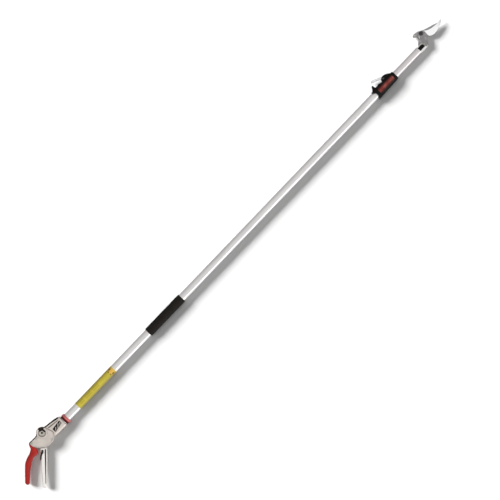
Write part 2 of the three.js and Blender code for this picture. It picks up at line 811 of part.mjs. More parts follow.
const cutOutline = rounded([
  [1567.4, 31, 5],
  [1572, 39.6, 5],
  [1580, 39.2, 5],
  [1586, 35.4, 4],
  [1599, 29.6, 6],
  [1611, 26.2, 6],
  [1621, 23, 6],
  [1631, 19.4, 6],
  [1642, 14.6, 1],
  [1641, 12.8, 1],
  [1628, 11.6, 6],
  [1614, 8.8, 8],
  [1601, 9.8, 8],
  [1590, 14.6, 6],
  [1582.4, 21, 4],
  [TANG_X + 6.4, TANG_Y - 1, 4],
  [TANG_X + 3, TANG_Y - 6.2, 3],
  [TANG_X - 4.6, TANG_Y - 5, 3],
  [TANG_X - 6, TANG_Y + 3, 3],
], 3);
const tangAim = Math.atan2(-TANG_REACH, -STROKE_HALF);
const tangAt = (s, w) => [
  TANG_X + s * Math.cos(tangAim) - w * Math.sin(tangAim),
  TANG_Y + s * Math.sin(tangAim) + w * Math.cos(tangAim),
];
const tangSlot = rounded([
  tangAt(-3.2, -2.2),
  tangAt(2.3, -2.2),
  tangAt(2.3, 2.2),
  tangAt(-3.2, 2.2),
].map((p) => [...p, 1]), 2);
piece('cutting_blade', cut(slab(cutOutline, CUT_Z[0], CUT_Z[1]), post(BLADE_PIVOT, 3.1, -30, 30), slab(tangSlot, -30, 30)), 'dark');

piece('blade_bolt', cut(
  join(post(BLADE_PIVOT, 3, -11, 7), post(BLADE_PIVOT, 5.2, TOP_Z[1] + 0.1, 10, 32)),
  post(BLADE_PIVOT, 2.4, 8.2, 30, 6),
), 'dark');
piece('blade_nut', cut(post(BLADE_PIVOT, 5.6, -12, BASE_Z[0] - 0.1, 6), post(BLADE_PIVOT, 3.05, -30, 0)), 'zinc');

export default group;
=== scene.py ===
"""Looks of a telescoping pole pruner: cast pistol grip, two aluminium poles, lever clamp and bypass head.

Shapes are laid out in millimetres from a datum on the pole axis under the handle's front collar, with +X
towards the cutting head, +Y towards the branch hook and z = 0 on the axis. The CAD frame gives the datum.
"""
import math

import bpy
import numpy as np
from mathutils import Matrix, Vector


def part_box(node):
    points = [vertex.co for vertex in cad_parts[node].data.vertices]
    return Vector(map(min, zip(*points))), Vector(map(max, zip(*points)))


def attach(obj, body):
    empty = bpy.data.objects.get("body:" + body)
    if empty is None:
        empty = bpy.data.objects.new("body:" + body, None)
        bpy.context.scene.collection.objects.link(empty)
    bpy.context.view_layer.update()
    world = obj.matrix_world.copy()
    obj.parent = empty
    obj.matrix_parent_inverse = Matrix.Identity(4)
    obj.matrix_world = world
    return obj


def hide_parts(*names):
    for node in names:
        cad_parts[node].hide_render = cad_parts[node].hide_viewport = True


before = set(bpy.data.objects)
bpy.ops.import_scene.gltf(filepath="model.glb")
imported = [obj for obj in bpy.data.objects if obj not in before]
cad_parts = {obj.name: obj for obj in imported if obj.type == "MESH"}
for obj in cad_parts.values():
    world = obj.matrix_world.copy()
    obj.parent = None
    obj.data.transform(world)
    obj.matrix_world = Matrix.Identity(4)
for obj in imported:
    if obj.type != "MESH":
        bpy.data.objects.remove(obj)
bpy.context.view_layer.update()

MM = 0.001
tube_low, tube_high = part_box("outer_tube")
DATUM = np.array([tube_low.x + 0.062, (tube_low.y + tube_high.y) / 2, (tube_low.z + tube_high.z) / 2])
TAU = 2 * math.pi
CRISP = math.radians(32)      # edges sharper than this are not smoothed
CLEAR = 30.0                  # a height past every piece, for tools that cut right through

# ---- sizes shared by several pieces ---------------------------------------------------------------

PIVOT = (-100.0, 23.0)
BLADE_PIVOT = (1577.0, 30.5)
CLAMP_PIVOT = (1398.0, 19.0)
LEVER_AIM = math.radians(-133)
SWING = math.radians(24)
HALF_STROKE = PIVOT[1] * math.tan(SWING / 2)
TANG_PIN = (BLADE_PIVOT[0] - HALF_STROKE, BLADE_PIVOT[1] - 15.0)
TUBE_R, TUBE_BORE, TUBE_ENDS = 12.5, 11.3, (-62.0, 1385.0)
INNER_R, INNER_BORE, INNER_ENDS = 11.0, 9.9, (95.0, 1534.0)
POLE_FIT = 12.56              # bore of the castings that hold the outer pole
PIVOT_HOLE, BLADE_HOLE, CLAMP_HOLE = 4.1, 3.1, 1.95


# ---- outlines -------------------------------------------------------------------------------------

def rounded(corners, steps=7):
    """Closed outline through corners (x, y, radius): each corner becomes a quadratic curve that leaves one
    side and meets the next at the radius's distance from the corner, or at most 48% of the side."""
    c = np.array(corners, float)
    p, r = c[:, :2], c[:, 2:3]
    to_last, to_next = np.roll(p, 1, 0) - p, np.roll(p, -1, 0) - p
    da = np.linalg.norm(to_last, axis=1, keepdims=True)
    db = np.linalg.norm(to_next, axis=1, keepdims=True)
    reach = np.minimum(r, 0.48 * np.minimum(da, db))
    a, b = p + to_last / da * reach, p + to_next / db * reach
    t = np.linspace(0, 1, steps)[:, None, None]
    curve = (1 - t) ** 2 * a + 2 * t * (1 - t) * p + t ** 2 * b
    return curve.transpose(1, 0, 2).reshape(-1, 2)


def even(outline, count):
    """The same closed outline with count points at equal distances along it, anticlockwise."""
    o = np.asarray(outline, float)
    nxt = np.roll(o, -1, 0)
    if np.sum(o[:, 0] * nxt[:, 1] - nxt[:, 0] * o[:, 1]) < 0:
        o = o[::-1]
    closed = np.vstack([o, o[:1]])
    gone = np.concatenate([[0], np.cumsum(np.linalg.norm(np.diff(closed, axis=0), axis=1))])
    at = np.linspace(0, gone[-1], count, endpoint=False)
    return np.stack([np.interp(at, gone, closed[:, k]) for k in (0, 1)], 1)


def inset(outline, distance):
    """Each point moved inwards along the outline's normal, taken across its two neighbours."""
    side = np.roll(outline, -1, 0) - np.roll(outline, 1, 0)
    side /= np.linalg.norm(side, axis=1, keepdims=True)
    return outline + distance * np.stack([-side[:, 1], side[:, 0]], 1)


def turn(count):
    """Equal steps of angle that go once round."""
    return np.linspace(0, TAU, count, endpoint=False)


def circle_arc(centre, radius, angles):
    """Points of a circle at given angles."""
    return np.stack([centre[0] + radius * np.cos(angles), centre[1] + radius * np.sin(angles)], 1)


def circle(centre, radius, count=96):
    """Points at equal angles round a centre."""
    return circle_arc(centre, radius, turn(count))


def sector(centre, inner, outer, first, last, count=40):
    """Part of a ring between two radii and two angles in degrees."""
    angles = np.radians(np.linspace(first, last, count))
    return np.concatenate([circle_arc(centre, outer, angles), circle_arc(centre, inner, angles[::-1])])


def aimed(centre, aim, s, w):
    """A point s along a direction from a centre and w across it."""
    c, d = math.cos(aim), math.sin(aim)
    return centre[0] + s * c - w * d, centre[1] + s * d + w * c


def beside(centre, *corners):
    """Corners (x, y, radius) carried to a centre."""
    return [(centre[0] + x, centre[1] + y, r) for x, y, r in corners]


def lifted(outline, z):
    """An outline as a ring at height z."""
    return np.column_stack([outline, np.full(len(outline), float(z))])


# ---- surfaces -------------------------------------------------------------------------------------

def surface(name, rings, joined=False):
    """Skin over rings of equal length. Faces join ring i to ring i + 1; the two ends are closed with flat
    faces, or joined to each other."""
    rings = np.asarray(rings, float)
    m, n = rings.shape[:2]
    rows = m if joined else m - 1
    i, j = np.meshgrid(np.arange(rows), np.arange(n), indexing="ij")
    k, l = (i + 1) % m, (j + 1) % n
    quads = np.stack([i * n + j, i * n + l, k * n + l, k * n + j], -1).reshape(-1, 4)
    faces = quads.tolist()
    if not joined:
        faces.append(np.arange(n)[::-1].tolist())
        faces.append(((m - 1) * n + np.arange(n)).tolist())
    place = (DATUM + rings.reshape(-1, 3) * MM).tolist()
    mesh = bpy.data.meshes.new(name)
    mesh.from_pydata(place, [], faces)
    mesh.update()
    if volume(mesh) < 0:
        mesh.flip_normals()
    shaded(mesh)
    return placed(name, mesh)


def read(items, name, width=1, kind=float):
    """A mesh attribute as one array, with a row for each item."""
    values = np.empty(len(items) * width, kind)
    items.foreach_get(name, values)
    return values.reshape(-1, width) if width > 1 else values


def volume(mesh):
    """Signed volume: a sixth of the sum of the triple products of every triangle's corners."""
    mesh.calc_loop_triangles()
    co = read(mesh.vertices, "co", 3)
    tri = read(mesh.loop_triangles, "vertices", 3, np.int32)
    a, b, c = (co - co.mean(0))[tri].transpose(1, 0, 2)
    return float(np.einsum("ij,ij->i", a, np.cross(b, c)).sum() / 6)


def shaded(mesh):
    """Smooth, apart from the edges sharper than the crisp angle."""
    mesh.shade_smooth()
    mesh.set_sharp_from_angle(angle=CRISP)


def placed(name, data):
    """An object at the origin for a mesh, lamp or camera."""
    thing = bpy.data.objects.new(name, data)
    bpy.context.scene.collection.objects.link(thing)
    return thing


def turned(name, profile, count=128, joined=True):
    """Body of revolution about the pole axis: profile points (x, radius) carried round in equal steps."""
    p = np.asarray(profile, float)
    t = turn(count)
    rings = np.stack(
        [np.broadcast_to(p[:, :1], (len(p), count)), p[:, 1:] * np.cos(t), p[:, 1:] * np.sin(t)], -1)
    return surface(name, rings, joined)


def spindle(name, centre, profile, count=72, joined=False, shape=1.0):
    """Body of revolution about an upright axis: profile points (radius, z) carried round a centre. shape
    holds a factor on the radius for each angle, for flutes or a hexagon."""
    p = np.asarray(profile, float)
    t = turn(count)
    r = p[:, :1] * np.broadcast_to(shape, (count,))
    rings = np.stack([centre[0] + r * np.cos(t), centre[1] + r * np.sin(t),
                      np.broadcast_to(p[:, 1:], (len(p), count))], -1)
    return surface(name, rings, joined)


def slab(name, outline, z0, z1, top=0.0, bottom=None, steps=6, count=260):
    """Upright slab with rounded edges: a quarter circle of the edge's radius is carried round the outline,
    moving inwards as it rises."""
    bottom = top if bottom is None else bottom
    path = even(outline, count)
    t = np.linspace(0, math.pi / 2, steps)
    rings = []
    if bottom:
        rings += [lifted(inset(path, bottom * (1 - math.sin(a))),
                         z0 + bottom * (1 - math.cos(a))) for a in t]
    else:
        rings.append(lifted(path, z0))
    if top:
        rings += [lifted(inset(path, top * (1 - math.cos(a))), z1 - top * (1 - math.sin(a))) for a in t]
    else:
        rings.append(lifted(path, z1))
    return surface(name, rings)


def loft(name, sections, count=72, power=2.0, along=140, ends=(0.0, 0.0)):
    """Sweep between two edges: each section row holds a point on each edge and half the thickness, all
    carried on smooth cubic curves. A ring is a superellipse |a|^n + |b|^n = 1 across the section, and the
    last millimetres shrink on a quarter circle so that the ends close round."""
    s = np.asarray(sections, float)
    knots = np.concatenate([[0], np.cumsum(np.linalg.norm(np.diff(s[:, :4], axis=0), axis=1))])
    knots /= knots[-1]
    u = np.linspace(0, 1, along)
    row = cubic(knots, s, u)
    a, b, half = row[:, :2], row[:, 2:4], row[:, 4:5]
    mid, arm = (a + b) / 2, (a - b) / 2
    length = np.concatenate([[0], np.cumsum(np.linalg.norm(np.diff(mid, axis=0), axis=1))])
    scale = np.ones(along)
    for end, gone in zip(ends, (length, length[-1] - length)):
        if end:
            scale *= np.sqrt(np.clip(1 - np.clip(1 - gone / end, 0, 0.985) ** 2, 0.0, 1))
    t = turn(count)
    n = np.broadcast_to(power, (along,))[:, None]
    ca, sa = np.cos(t), np.sin(t)
    x = np.sign(ca) * np.abs(ca) ** (2 / n) * scale[:, None]
    z = np.sign(sa) * np.abs(sa) ** (2 / n) * scale[:, None] * half
    rings = np.concatenate([mid[:, None] + arm[:, None] * x[..., None], z[..., None]], -1)
    return surface(name, rings)


def cubic(knots, rows, at):
    """Cubic Hermite curve through rows, with slopes taken across the neighbouring rows."""
    slope = np.gradient(rows, knots, axis=0)
    i = np.clip(np.searchsorted(knots, at, side="right") - 1, 0, len(knots) - 2)
    h = (knots[i + 1] - knots[i])[:, None]
    t = ((at - knots[i]) / (knots[i + 1] - knots[i]))[:, None]
    return ((2 * t ** 3 - 3 * t ** 2 + 1) * rows[i] + (t ** 3 - 2 * t ** 2 + t) * h * slope[i]
            + (3 * t ** 2 - 2 * t ** 3) * rows[i + 1] + (t ** 3 - t ** 2) * h * slope[i + 1])


def prism(outline, z0, z1):
    """An upright block of an outline, used to cut or join with."""
    return surface("tool", [lifted(outline, z0), lifted(outline, z1)])


def hexagon(count=72):
    """Factor on the radius that turns a circle into a hexagon: the apothem over the cosine of the angle
    from the nearest flat's middle."""
    sixth = math.pi / 3
    return math.cos(sixth / 2) / np.cos((turn(count) + sixth / 2) % sixth - sixth / 2)


def box_tool(low, high):
    """A plain box, used to cut or join with."""
    (x0, y0, z0), (x1, y1, z1) = low, high
    return prism([(x0, y0), (x1, y0), (x1, y1), (x0, y1)], z0, z1)


def post_tool(centre, radius, z0, z1, count=72):
    """An upright cylinder, used to cut or join with."""
    return prism(circle(centre, radius, count), z0, z1)


def bore_tool(x0, x1, radius, count):
    """A cylinder on the pole axis to cut with: full radius from x0 to x1, next to nothing at its ends."""
    return turned("tool", [(x0, 0.01), (x0, radius), (x1, radius), (x1, 0.01)], count, joined=False)


def shaped(piece, operation, tools):
    """Cuts away or joins tools one after another."""
    for tool in tools:
        change = piece.modifiers.new("change", "BOOLEAN")
        change.operation, change.object, change.solver = operation, tool, "MANIFOLD"
        graph = bpy.context.evaluated_depsgraph_get()
        result = bpy.data.meshes.new_from_object(piece.evaluated_get(graph))
        piece.modifiers.clear()
        piece.data = result
        bpy.data.objects.remove(tool)
    shaded(piece.data)
    return piece


def cut(piece, *tools):
    """A piece less its tools."""
    return shaped(piece, "DIFFERENCE", tools)


def join(piece, *tools):
    """A piece and its tools as one solid."""
    return shaped(piece, "UNION", tools)


def darkened(piece, finish, outline, z_low, z_high):
    """Gives the faces whose middles lie inside an outline and between two heights another finish. A middle
    is inside when a ray from it towards +X crosses the outline an odd number of times."""
    mesh = piece.data
    if not mesh.materials:
        mesh.materials.append(None)
    if finish.name not in mesh.materials:
        mesh.materials.append(finish)
    index = read(mesh.polygons, "material_index", 1, np.int32)
    x, y, z = ((read(mesh.polygons, "center", 3) - DATUM) / MM).T
    a = np.asarray(outline, float)
    b = np.roll(a, -1, 0)
    crosses = (a[None, :, 1] > y[:, None]) != (b[None, :, 1] > y[:, None])
    rise = np.where(b[:, 1] == a[:, 1], 1e-9, b[:, 1] - a[:, 1])
    at = a[None, :, 0] + (y[:, None] - a[None, :, 1]) / rise[None] * (b[:, 0] - a[:, 0])[None]
    inside = np.sum(crosses & (at > x[:, None]), 1) % 2 == 1
    index[inside & (z > z_low) & (z < z_high)] = mesh.materials.find(finish.name)
    mesh.polygons.foreach_set("material_index", index)
    return piece


# ---- finishes -------------------------------------------------------------------------------------

class Finish:
    """A material on the principled shader, with short calls for the detail nodes that feed it."""

    def __init__(self, name, colour, rough, metallic=0.0, **plain):
        self.material = bpy.data.materials.new(name)
        self.material.use_nodes = True
        self.tree = self.material.node_tree
        self.shader = self.tree.nodes["Principled BSDF"]
        self.shader.inputs["Base Color"].default_value = (*colour, 1)
        self.shader.inputs["Roughness"].default_value = rough
        self.shader.inputs["Metallic"].default_value = metallic
        for socket, value in plain.items():
            self.shader.inputs[socket.replace("_", " ")].default_value = value
        self.colour, self.normal = colour, None
        self.place = self.add("ShaderNodeTexCoord").outputs["Object"]

    def add(self, kind, inputs=(), **settings):
        """A new node, with its inputs fed and its settings made."""
        node = self.tree.nodes.new(kind)
        for key, value in settings.items():
            setattr(node, key, value)
        for key, value in dict(inputs).items():
            self.feed(node.inputs[key], value)
        return node

    def feed(self, socket, value):
        """Links a socket to another node's output, or gives it a plain value."""
        if isinstance(value, bpy.types.NodeSocket):
            self.tree.links.new(value, socket)
        else:
            socket.default_value = value

    def stretched(self, scale, place=None):
        """The object's coordinates times a factor for each axis."""
        return self.add("ShaderNodeMapping", {"Vector": place or self.place,
                                              "Scale": scale}).outputs["Vector"]

    def noise(self, scale, detail=4.0, roughness=0.55, place=None):
        """Smooth noise from 0 to 1, with scale cells to a metre."""
        values = {"Vector": place or self.place, "Scale": scale, "Detail": detail, "Roughness": roughness}
        return self.add("ShaderNodeTexNoise", values).outputs["Fac"]

    def cells(self, scale):
        """Distance to the nearest cell point."""
        return self.add("ShaderNodeTexVoronoi", {"Vector": self.place, "Scale": scale}).outputs["Distance"]

    def spread(self, value, low, high, to_low=0.0, to_high=1.0):
        """A value carried from one range to another, and held at its ends."""
        inputs = {"Value": value, "From Min": low, "From Max": high, "To Min": to_low, "To Max": to_high}
        return self.add("ShaderNodeMapRange", inputs).outputs["Result"]

    def sum(self, a, b, how="ADD"):
        """Two values added, or brought together by another operation."""
        return self.add("ShaderNodeMath", {0: a, 1: b}, operation=how).outputs[0]

    def tint(self, amount, other, base=None):
        """The base colour mixed with another by an amount from 0 to 1."""
        mix = self.add("ShaderNodeMix", data_type="RGBA")
        self.feed(mix.inputs["Factor"], amount)
        self.feed(mix.inputs["A"], base or (*self.colour, 1))
        self.feed(mix.inputs["B"], (*other, 1) if len(other) == 3 else other)
        self.tree.links.new(mix.outputs["Result"], self.shader.inputs["Base Color"])
        return mix.outputs["Result"]

    def patches(self, scale, detail, low, high, amount, other, base=None):
        """Another colour where noise lies high: none of it below low, and the full amount above high."""
        return self.tint(self.spread(self.noise(scale, detail), low, high, 0, amount), other, base)

    def polish(self, value):
        """Makes a value the roughness."""
        self.tree.links.new(value, self.shader.inputs["Roughness"])

    def sheen(self, scale, detail, smooth, rough, low=0.3):
        """Roughness that wanders between two values with noise."""
        self.polish(self.spread(self.noise(scale, detail), low, 0.7, smooth, rough))

    def relief(self, height, depth):
        """A bump of a depth in metres, on top of any earlier one."""
        values = {"Height": height, "Distance": depth, "Strength": 1.0}
        if self.normal:
            values["Normal"] = self.normal
        self.normal = self.add("ShaderNodeBump", values).outputs["Normal"]
        self.tree.links.new(self.normal, self.shader.inputs["Normal"])

    def soft_edges(self, radius):
        """Breaks sharp edges by a small radius in the shading."""
        bevel = self.add("ShaderNodeBevel", {"Radius": radius}, samples=4)
        self.normal = bevel.outputs["Normal"]
        self.tree.links.new(self.normal, self.shader.inputs["Normal"])

    def painted_crevice_shade(self, reach, colour, base, low=0.35, high=0.85):
        """Painted shade where the piece shades itself: in seams, grooves and round fasteners, broken up by
        a little noise.
        """
        shade = self.add("ShaderNodeAmbientOcclusion", {"Distance": reach}, samples=6, only_local=True)
        open_air = self.sum(shade.outputs["AO"], self.spread(self.noise(150, 4), 0.3, 0.7, -0.08, 0.08))
        return self.tint(self.spread(open_air, low, high, 1.0, 0.0), colour, base)

    def worn_edges(self, amount, bare, base=None, sharp=(0.52, 0.60)):
        """Edges rubbed to a barer colour, broken up by noise."""
        point = self.add("ShaderNodeNewGeometry").outputs["Pointiness"]
        rub = self.sum(self.spread(point, *sharp), self.spread(self.noise(180, 5), 0.42, 0.62), "MULTIPLY")
        return self.tint(self.sum(rub, amount, "MULTIPLY"), bare, base)


def dimmed(colour, share):
    """A share of a colour."""
    return tuple(share * c for c in colour)


def drawn_aluminium(name="drawn_aluminium", colour=(0.70, 0.685, 0.68)):
    """Drawn tube: fine lines along the pole, faint bands of oxide and a few handling marks."""
    f = Finish(name, colour, 0.36, 0.92)
    lines = f.noise(1.0, 6, 0.6, f.stretched((6, 1500, 1500)))
    smears = f.noise(9, 4, 0.6, f.stretched((1, 5, 5)))
    f.tint(f.spread(smears, 0.38, 0.68, 0, 0.6), dimmed(colour, 0.85))
    f.polish(f.sum(f.spread(lines, 0.3, 0.7, 0.30, 0.44), f.spread(smears, 0.35, 0.7, -0.03, 0.06)))
    f.relief(lines, 0.00003)
    scratch = f.spread(f.noise(1.0, 2, 0.5, f.stretched((35, 900, 900))), 0.70, 0.74)
    f.relief(f.sum(scratch, -1.0, "MULTIPLY"), 0.00004)
    return f.material


def cast_metal(name, colour, rough, metallic, grain=0.00005):
    """Die casting: a fine pebbled skin, slight flow marks, painted shade in its hollows and bare edges."""
    f = Finish(name, colour, rough, metallic)
    f.soft_edges(0.0005)
    flow = f.noise(38, 5, 0.62)
    dark = dimmed(colour, 0.80)
    shade = f.tint(f.spread(flow, 0.36, 0.66, 0, 0.55), dark)
    shade = f.worn_edges(0.6, (0.90, 0.87, 0.84), shade)
    # Painted shade in seams and hollows.
    f.painted_crevice_shade(0.006, dimmed(colour, 0.12), shade)
    f.sheen(420, 3, rough - 0.06, rough + 0.08)
    f.relief(f.noise(1900, 3, 0.6), grain)
    f.relief(flow, 0.00012)
    return f.material


def dipped_vinyl():
    """Dipped soft vinyl: glossy, with a faint orange peel, slow waves and duller handled patches."""
    f = Finish("dipped_vinyl", (0.37, 0.015, 0.010), 0.34, 0.0, Coat_Weight=0.08, Coat_Roughness=0.22,
               Specular_IOR_Level=0.25)
    f.patches(30, 4, 0.35, 0.7, 0.7, (0.22, 0.008, 0.006))
    f.polish(f.spread(f.noise(70, 5, 0.6), 0.35, 0.7, 0.28, 0.44))
    f.relief(f.noise(650, 3, 0.5), 0.00007)
    f.relief(f.noise(60, 2), 0.0004)
    return f.material


def red_moulding(name, colour):
    """Moulded red plastic, with a fine spark-eroded grain."""
    f = Finish(name, colour, 0.30, 0.0, Specular_IOR_Level=0.22)
    f.soft_edges(0.0004)
    f.patches(45, 4, 0.35, 0.7, 0.5, dimmed(colour, 0.7))
    f.sheen(240, 4, 0.24, 0.38)
    f.relief(f.noise(2600, 2), 0.00003)
    return f.material


def black_moulding():
    """Glass-filled black nylon: fine grain, grey scuffs along the edges and dust in the texture."""
    f = Finish("black_moulding", (0.0034, 0.0031, 0.003), 0.40, 0.0, Specular_IOR_Level=0.09)
    f.soft_edges(0.0004)
    shade = f.patches(60, 5, 0.4, 0.7, 0.5, (0.0075, 0.0068, 0.0064))
    f.worn_edges(0.5, (0.040, 0.038, 0.036), shade)
    f.sheen(500, 4, 0.44, 0.62)
    f.relief(f.cells(1500), 0.00005)
    return f.material


def painted_hollow_shade():
    """Painted shade for pockets, grooves, slots and sockets: dull, nearly black, with a coarse skin."""
    f = Finish("painted_hollow_shade", (0.020, 0.016, 0.014), 0.7, 0.1, Specular_IOR_Level=0.12)
    f.patches(160, 5, 0.4, 0.7, 0.7, (0.040, 0.033, 0.030))
    f.relief(f.noise(900, 4), 0.0001)
    return f.material


def red_cap_painted_light(half_width):
    """Gloss red cap with painted shade and painted highlight: the colour darkens to near black towards its
    long edges, following the distance from the crest, which is the pole's own line, and paler patches stand
    in for highlights."""
    f = Finish("red_cap_painted_light", (0.20, 0.034, 0.028), 0.30, 0.0, Specular_IOR_Level=0.14)
    centred = f.add("ShaderNodeMapping", {"Vector": f.place,
                                          "Location": (0, -DATUM[1], 0)}).outputs["Vector"]
    away = f.add("ShaderNodeSeparateXYZ", {0: centred}).outputs["Y"]
    away = f.sum(away, 0.0003, "SUBTRACT")
    # Painted shade: darker the further from the crest.
    edge = f.spread(f.sum(away, 0.0, "ABSOLUTE"), 0.08 * half_width, 0.84 * half_width)
    # Painted highlight: paler mottled patches.
    painted_highlight_patches = f.patches(75, 4, 0.42, 0.64, 0.7, (0.36, 0.105, 0.080))
    f.tint(edge, (0.016, 0.004, 0.004), painted_highlight_patches)
    f.sheen(240, 4, 0.20, 0.34)
    f.relief(f.noise(900, 2), 0.00003)
    return f.material


def foam_rubber():
    """Closed-cell foam sleeve: soft pits of two sizes and a dry sheen."""
    f = Finish("foam_rubber", (0.0075, 0.0062, 0.0052), 0.62, 0.0, Specular_IOR_Level=0.10)
    f.tint(f.spread(f.noise(240, 5, 0.7), 0.38, 0.68, 0, 0.8), (0.018, 0.0155, 0.0135))
    f.relief(f.cells(1100), 0.00016)
    f.relief(f.cells(3200), 0.00006)
    f.relief(f.noise(70, 3), 0.0003)
    return f.material


def label_film():
    """Yellow film: u runs along the pole and v round it. It carries an amber end panel with plain blocks
    and rows of plain bars in place of printing, painted shade that darkens it away from its middle, and is
    slightly creased."""
    f = Finish("label_film", (0.54, 0.445, 0.055), 0.46, 0.0, Specular_IOR_Level=0.10)
    uv = f.add("ShaderNodeSeparateXYZ", {0: f.add("ShaderNodeTexCoord").outputs["UV"]})
    u, v = uv.outputs["X"], uv.outputs["Y"]

    def inside(value, low, high):
        """One between low and high, else nought."""
        return f.sum(f.sum(value, low, "GREATER_THAN"), f.sum(value, high, "LESS_THAN"), "MULTIPLY")

    shade = f.patches(26, 4, 0.35, 0.7, 0.6, (0.42, 0.345, 0.045))
    shade = f.tint(f.sum(inside(u, 0.875, 0.985), 0.85, "MULTIPLY"), (0.74, 0.43, 0.09), shade)
    def repeated(value, times):
        """A value that runs from nought to one so many times."""
        return f.sum(f.sum(value, times, "MULTIPLY"), 0.0, "FRACT")

    words = f.sum(inside(u, 0.08, 0.60), inside(repeated(u, 5.0), 0.1, 0.92), "MULTIPLY")
    bars = f.sum(inside(repeated(v, 12.0), 0.0, 0.55), words, "MULTIPLY")
    rows = f.sum(bars, inside(repeated(v, 2.0), 0.30, 0.62), "MULTIPLY")
    shade = f.tint(f.sum(rows, 0.34, "MULTIPLY"), (0.20, 0.15, 0.02), shade)
    # Painted shade: the film darkens away from its middle, on both halves of the turn.
    across = f.sum(f.sum(repeated(v, 2.0), 0.49, "SUBTRACT"), 0.0, "ABSOLUTE")
    shade = f.tint(f.spread(across, 0.12, 0.36, 0, 0.85), (0.25, 0.22, 0.07), shade)
    blocks = f.sum(f.sum(inside(u, 0.905, 0.955), inside(across, 0.15, 0.30), "MULTIPLY"),
                   f.sum(inside(u, 0.868, 0.892), inside(across, 0.05, 0.20), "MULTIPLY"))
    shade = f.tint(f.sum(blocks, 0.75, "MULTIPLY"), (0.09, 0.07, 0.01), shade)
    edge = f.sum(inside(u, 0.0, 0.012), inside(u, 0.988, 1.0))
    f.tint(f.sum(edge, 0.5, "MULTIPLY"), (0.85, 0.80, 0.55), shade)
    f.sheen(90, 4, 0.30, 0.46, 0.35)
    f.relief(f.noise(1.0, 3, 0.5, f.stretched((14, 60, 60))), 0.00025)
    return f.material


def ground_steel(name, colour, rough, metallic=1.0, along=(900, 25, 900), depth=0.00003):
    """Ground or plated steel: fine grinding lines that run one way, with faint stains."""
    f = Finish(name, colour, rough, metallic)
    f.soft_edges(0.0003)
    lines = f.noise(1.0, 5, 0.6, f.stretched(along))
    stain = f.noise(55, 5)
    f.tint(f.spread(stain, 0.4, 0.72, 0, 0.45), dimmed(colour, 0.78))
    f.polish(f.sum(f.spread(lines, 0.3, 0.7, rough - 0.05, rough + 0.07),
                   f.spread(stain, 0.4, 0.7, 0, 0.06)))
    f.relief(lines, depth)
    return f.material


def mottled_forging(name, colour, pale):
    """Tumbled forging: darker ground with paler worn patches and pits."""
    f = Finish(name, colour, 0.40, 0.9)
    f.soft_edges(0.0004)
    patch = f.noise(70, 5, 0.65)
    shade = f.tint(f.spread(patch, 0.46, 0.66, 0, 0.9), pale)
    # Painted shade where the forging shades itself.
    f.painted_crevice_shade(0.004, dimmed(colour, 0.2), shade)
    f.polish(f.spread(patch, 0.3, 0.7, 0.46, 0.34))
    f.relief(f.noise(700, 4), 0.00004)
    f.relief(f.cells(260), 0.00003)
    return f.material


def bright_blade(name, colour, tip_painted_shade, start, end):
    """Plated blade, ground along its length, with painted shade that darkens its colour from one x on the
    pole axis to another.
    """
    f = Finish(name, colour, 0.16, 1.0)
    f.soft_edges(0.0003)
    lines = f.noise(1.0, 5, 0.6, f.stretched((25, 700, 700)))
    along = f.add("ShaderNodeSeparateXYZ", {0: f.place}).outputs["X"]
    # Painted shade: darker towards the tip.
    f.tint(f.spread(along, start, end), tip_painted_shade)
    f.polish(f.spread(lines, 0.3, 0.7, 0.12, 0.24))
    f.relief(lines, 0.00001)
    return f.material


def zinc_plate(name="zinc_plate", colour=(0.60, 0.58, 0.53), rough=0.34):
    """Plated fastener: crystalline blotches and rubbed edges."""
    f = Finish(name, colour, rough, 1.0)
    f.soft_edges(0.0003)
    blotch = f.cells(420)
    f.tint(f.spread(blotch, 0.1, 0.8, 0, 0.6), dimmed(colour, 0.75))
    f.sheen(700, 3, rough - 0.08, rough + 0.12)
    f.relief(f.noise(900, 3), 0.00003)
    return f.material


def black_oxide():
    """Blackened steel with an oily, uneven sheen."""
    f = Finish("black_oxide", (0.035, 0.034, 0.033), 0.38, 0.75)
    f.soft_edges(0.0003)
    shade = f.patches(300, 4, 0.4, 0.7, 0.6, (0.07, 0.067, 0.063))
    f.worn_edges(0.6, (0.30, 0.29, 0.28), shade)
    f.sheen(500, 4, 0.30, 0.5)
    return f.material


TUBE = drawn_aluminium()
INNER_TUBE = drawn_aluminium("drawn_aluminium_inner", (0.655, 0.62, 0.62))
PAINTED_SHADE = painted_hollow_shade()
RED_CAP_PAINTED_LIGHT = red_cap_painted_light(0.0095)
CAST = cast_metal("cast_handle", (0.615, 0.555, 0.505), 0.44, 0.62)
LEVER = cast_metal("cast_lever", (0.90, 0.865, 0.82), 0.36, 0.80, 0.00003)
VINYL = dipped_vinyl()
RED = red_moulding("red_moulding", (0.085, 0.004, 0.004))
# A paler copy of the red, a painted highlight on the collar's lip.
RED_PAINTED_HIGHLIGHT = red_moulding("red_lip_painted_highlight", (0.56, 0.15, 0.14))
BLACK = black_moulding()
FOAM = foam_rubber()
FILM = label_film()
# The blade's colour falls to a darker grey towards its tip as painted shade.
CHROME = bright_blade("bright_blade", (0.93, 0.925, 0.925), (0.66, 0.645, 0.655), DATUM[0] + 1.624,
                      DATUM[0] + 1.652)
COATED = ground_steel("dark_coating", (0.27, 0.265, 0.270), 0.40, 0.55, (30, 900, 900))
LEVER_PLATE = ground_steel("lever_plate", (0.80, 0.785, 0.80), 0.20, 1.0, (25, 700, 700), 0.00001)
FORGED = mottled_forging("ground_forging", (0.235, 0.222, 0.228), (0.43, 0.41, 0.415))
FORGED_DARK = ground_steel("rolled_washer", (0.215, 0.203, 0.205), 0.42, 0.85, (500, 500, 60), 0.00004)
SOCKET = ground_steel("ground_socket", (0.80, 0.79, 0.78), 0.32, 0.9, (60, 500, 500), 0.00004)
BRIGHT_RUB = ground_steel("rubbed_steel", (0.80, 0.79, 0.78), 0.3, 1.0, (400, 400, 400))
ZINC = zinc_plate()
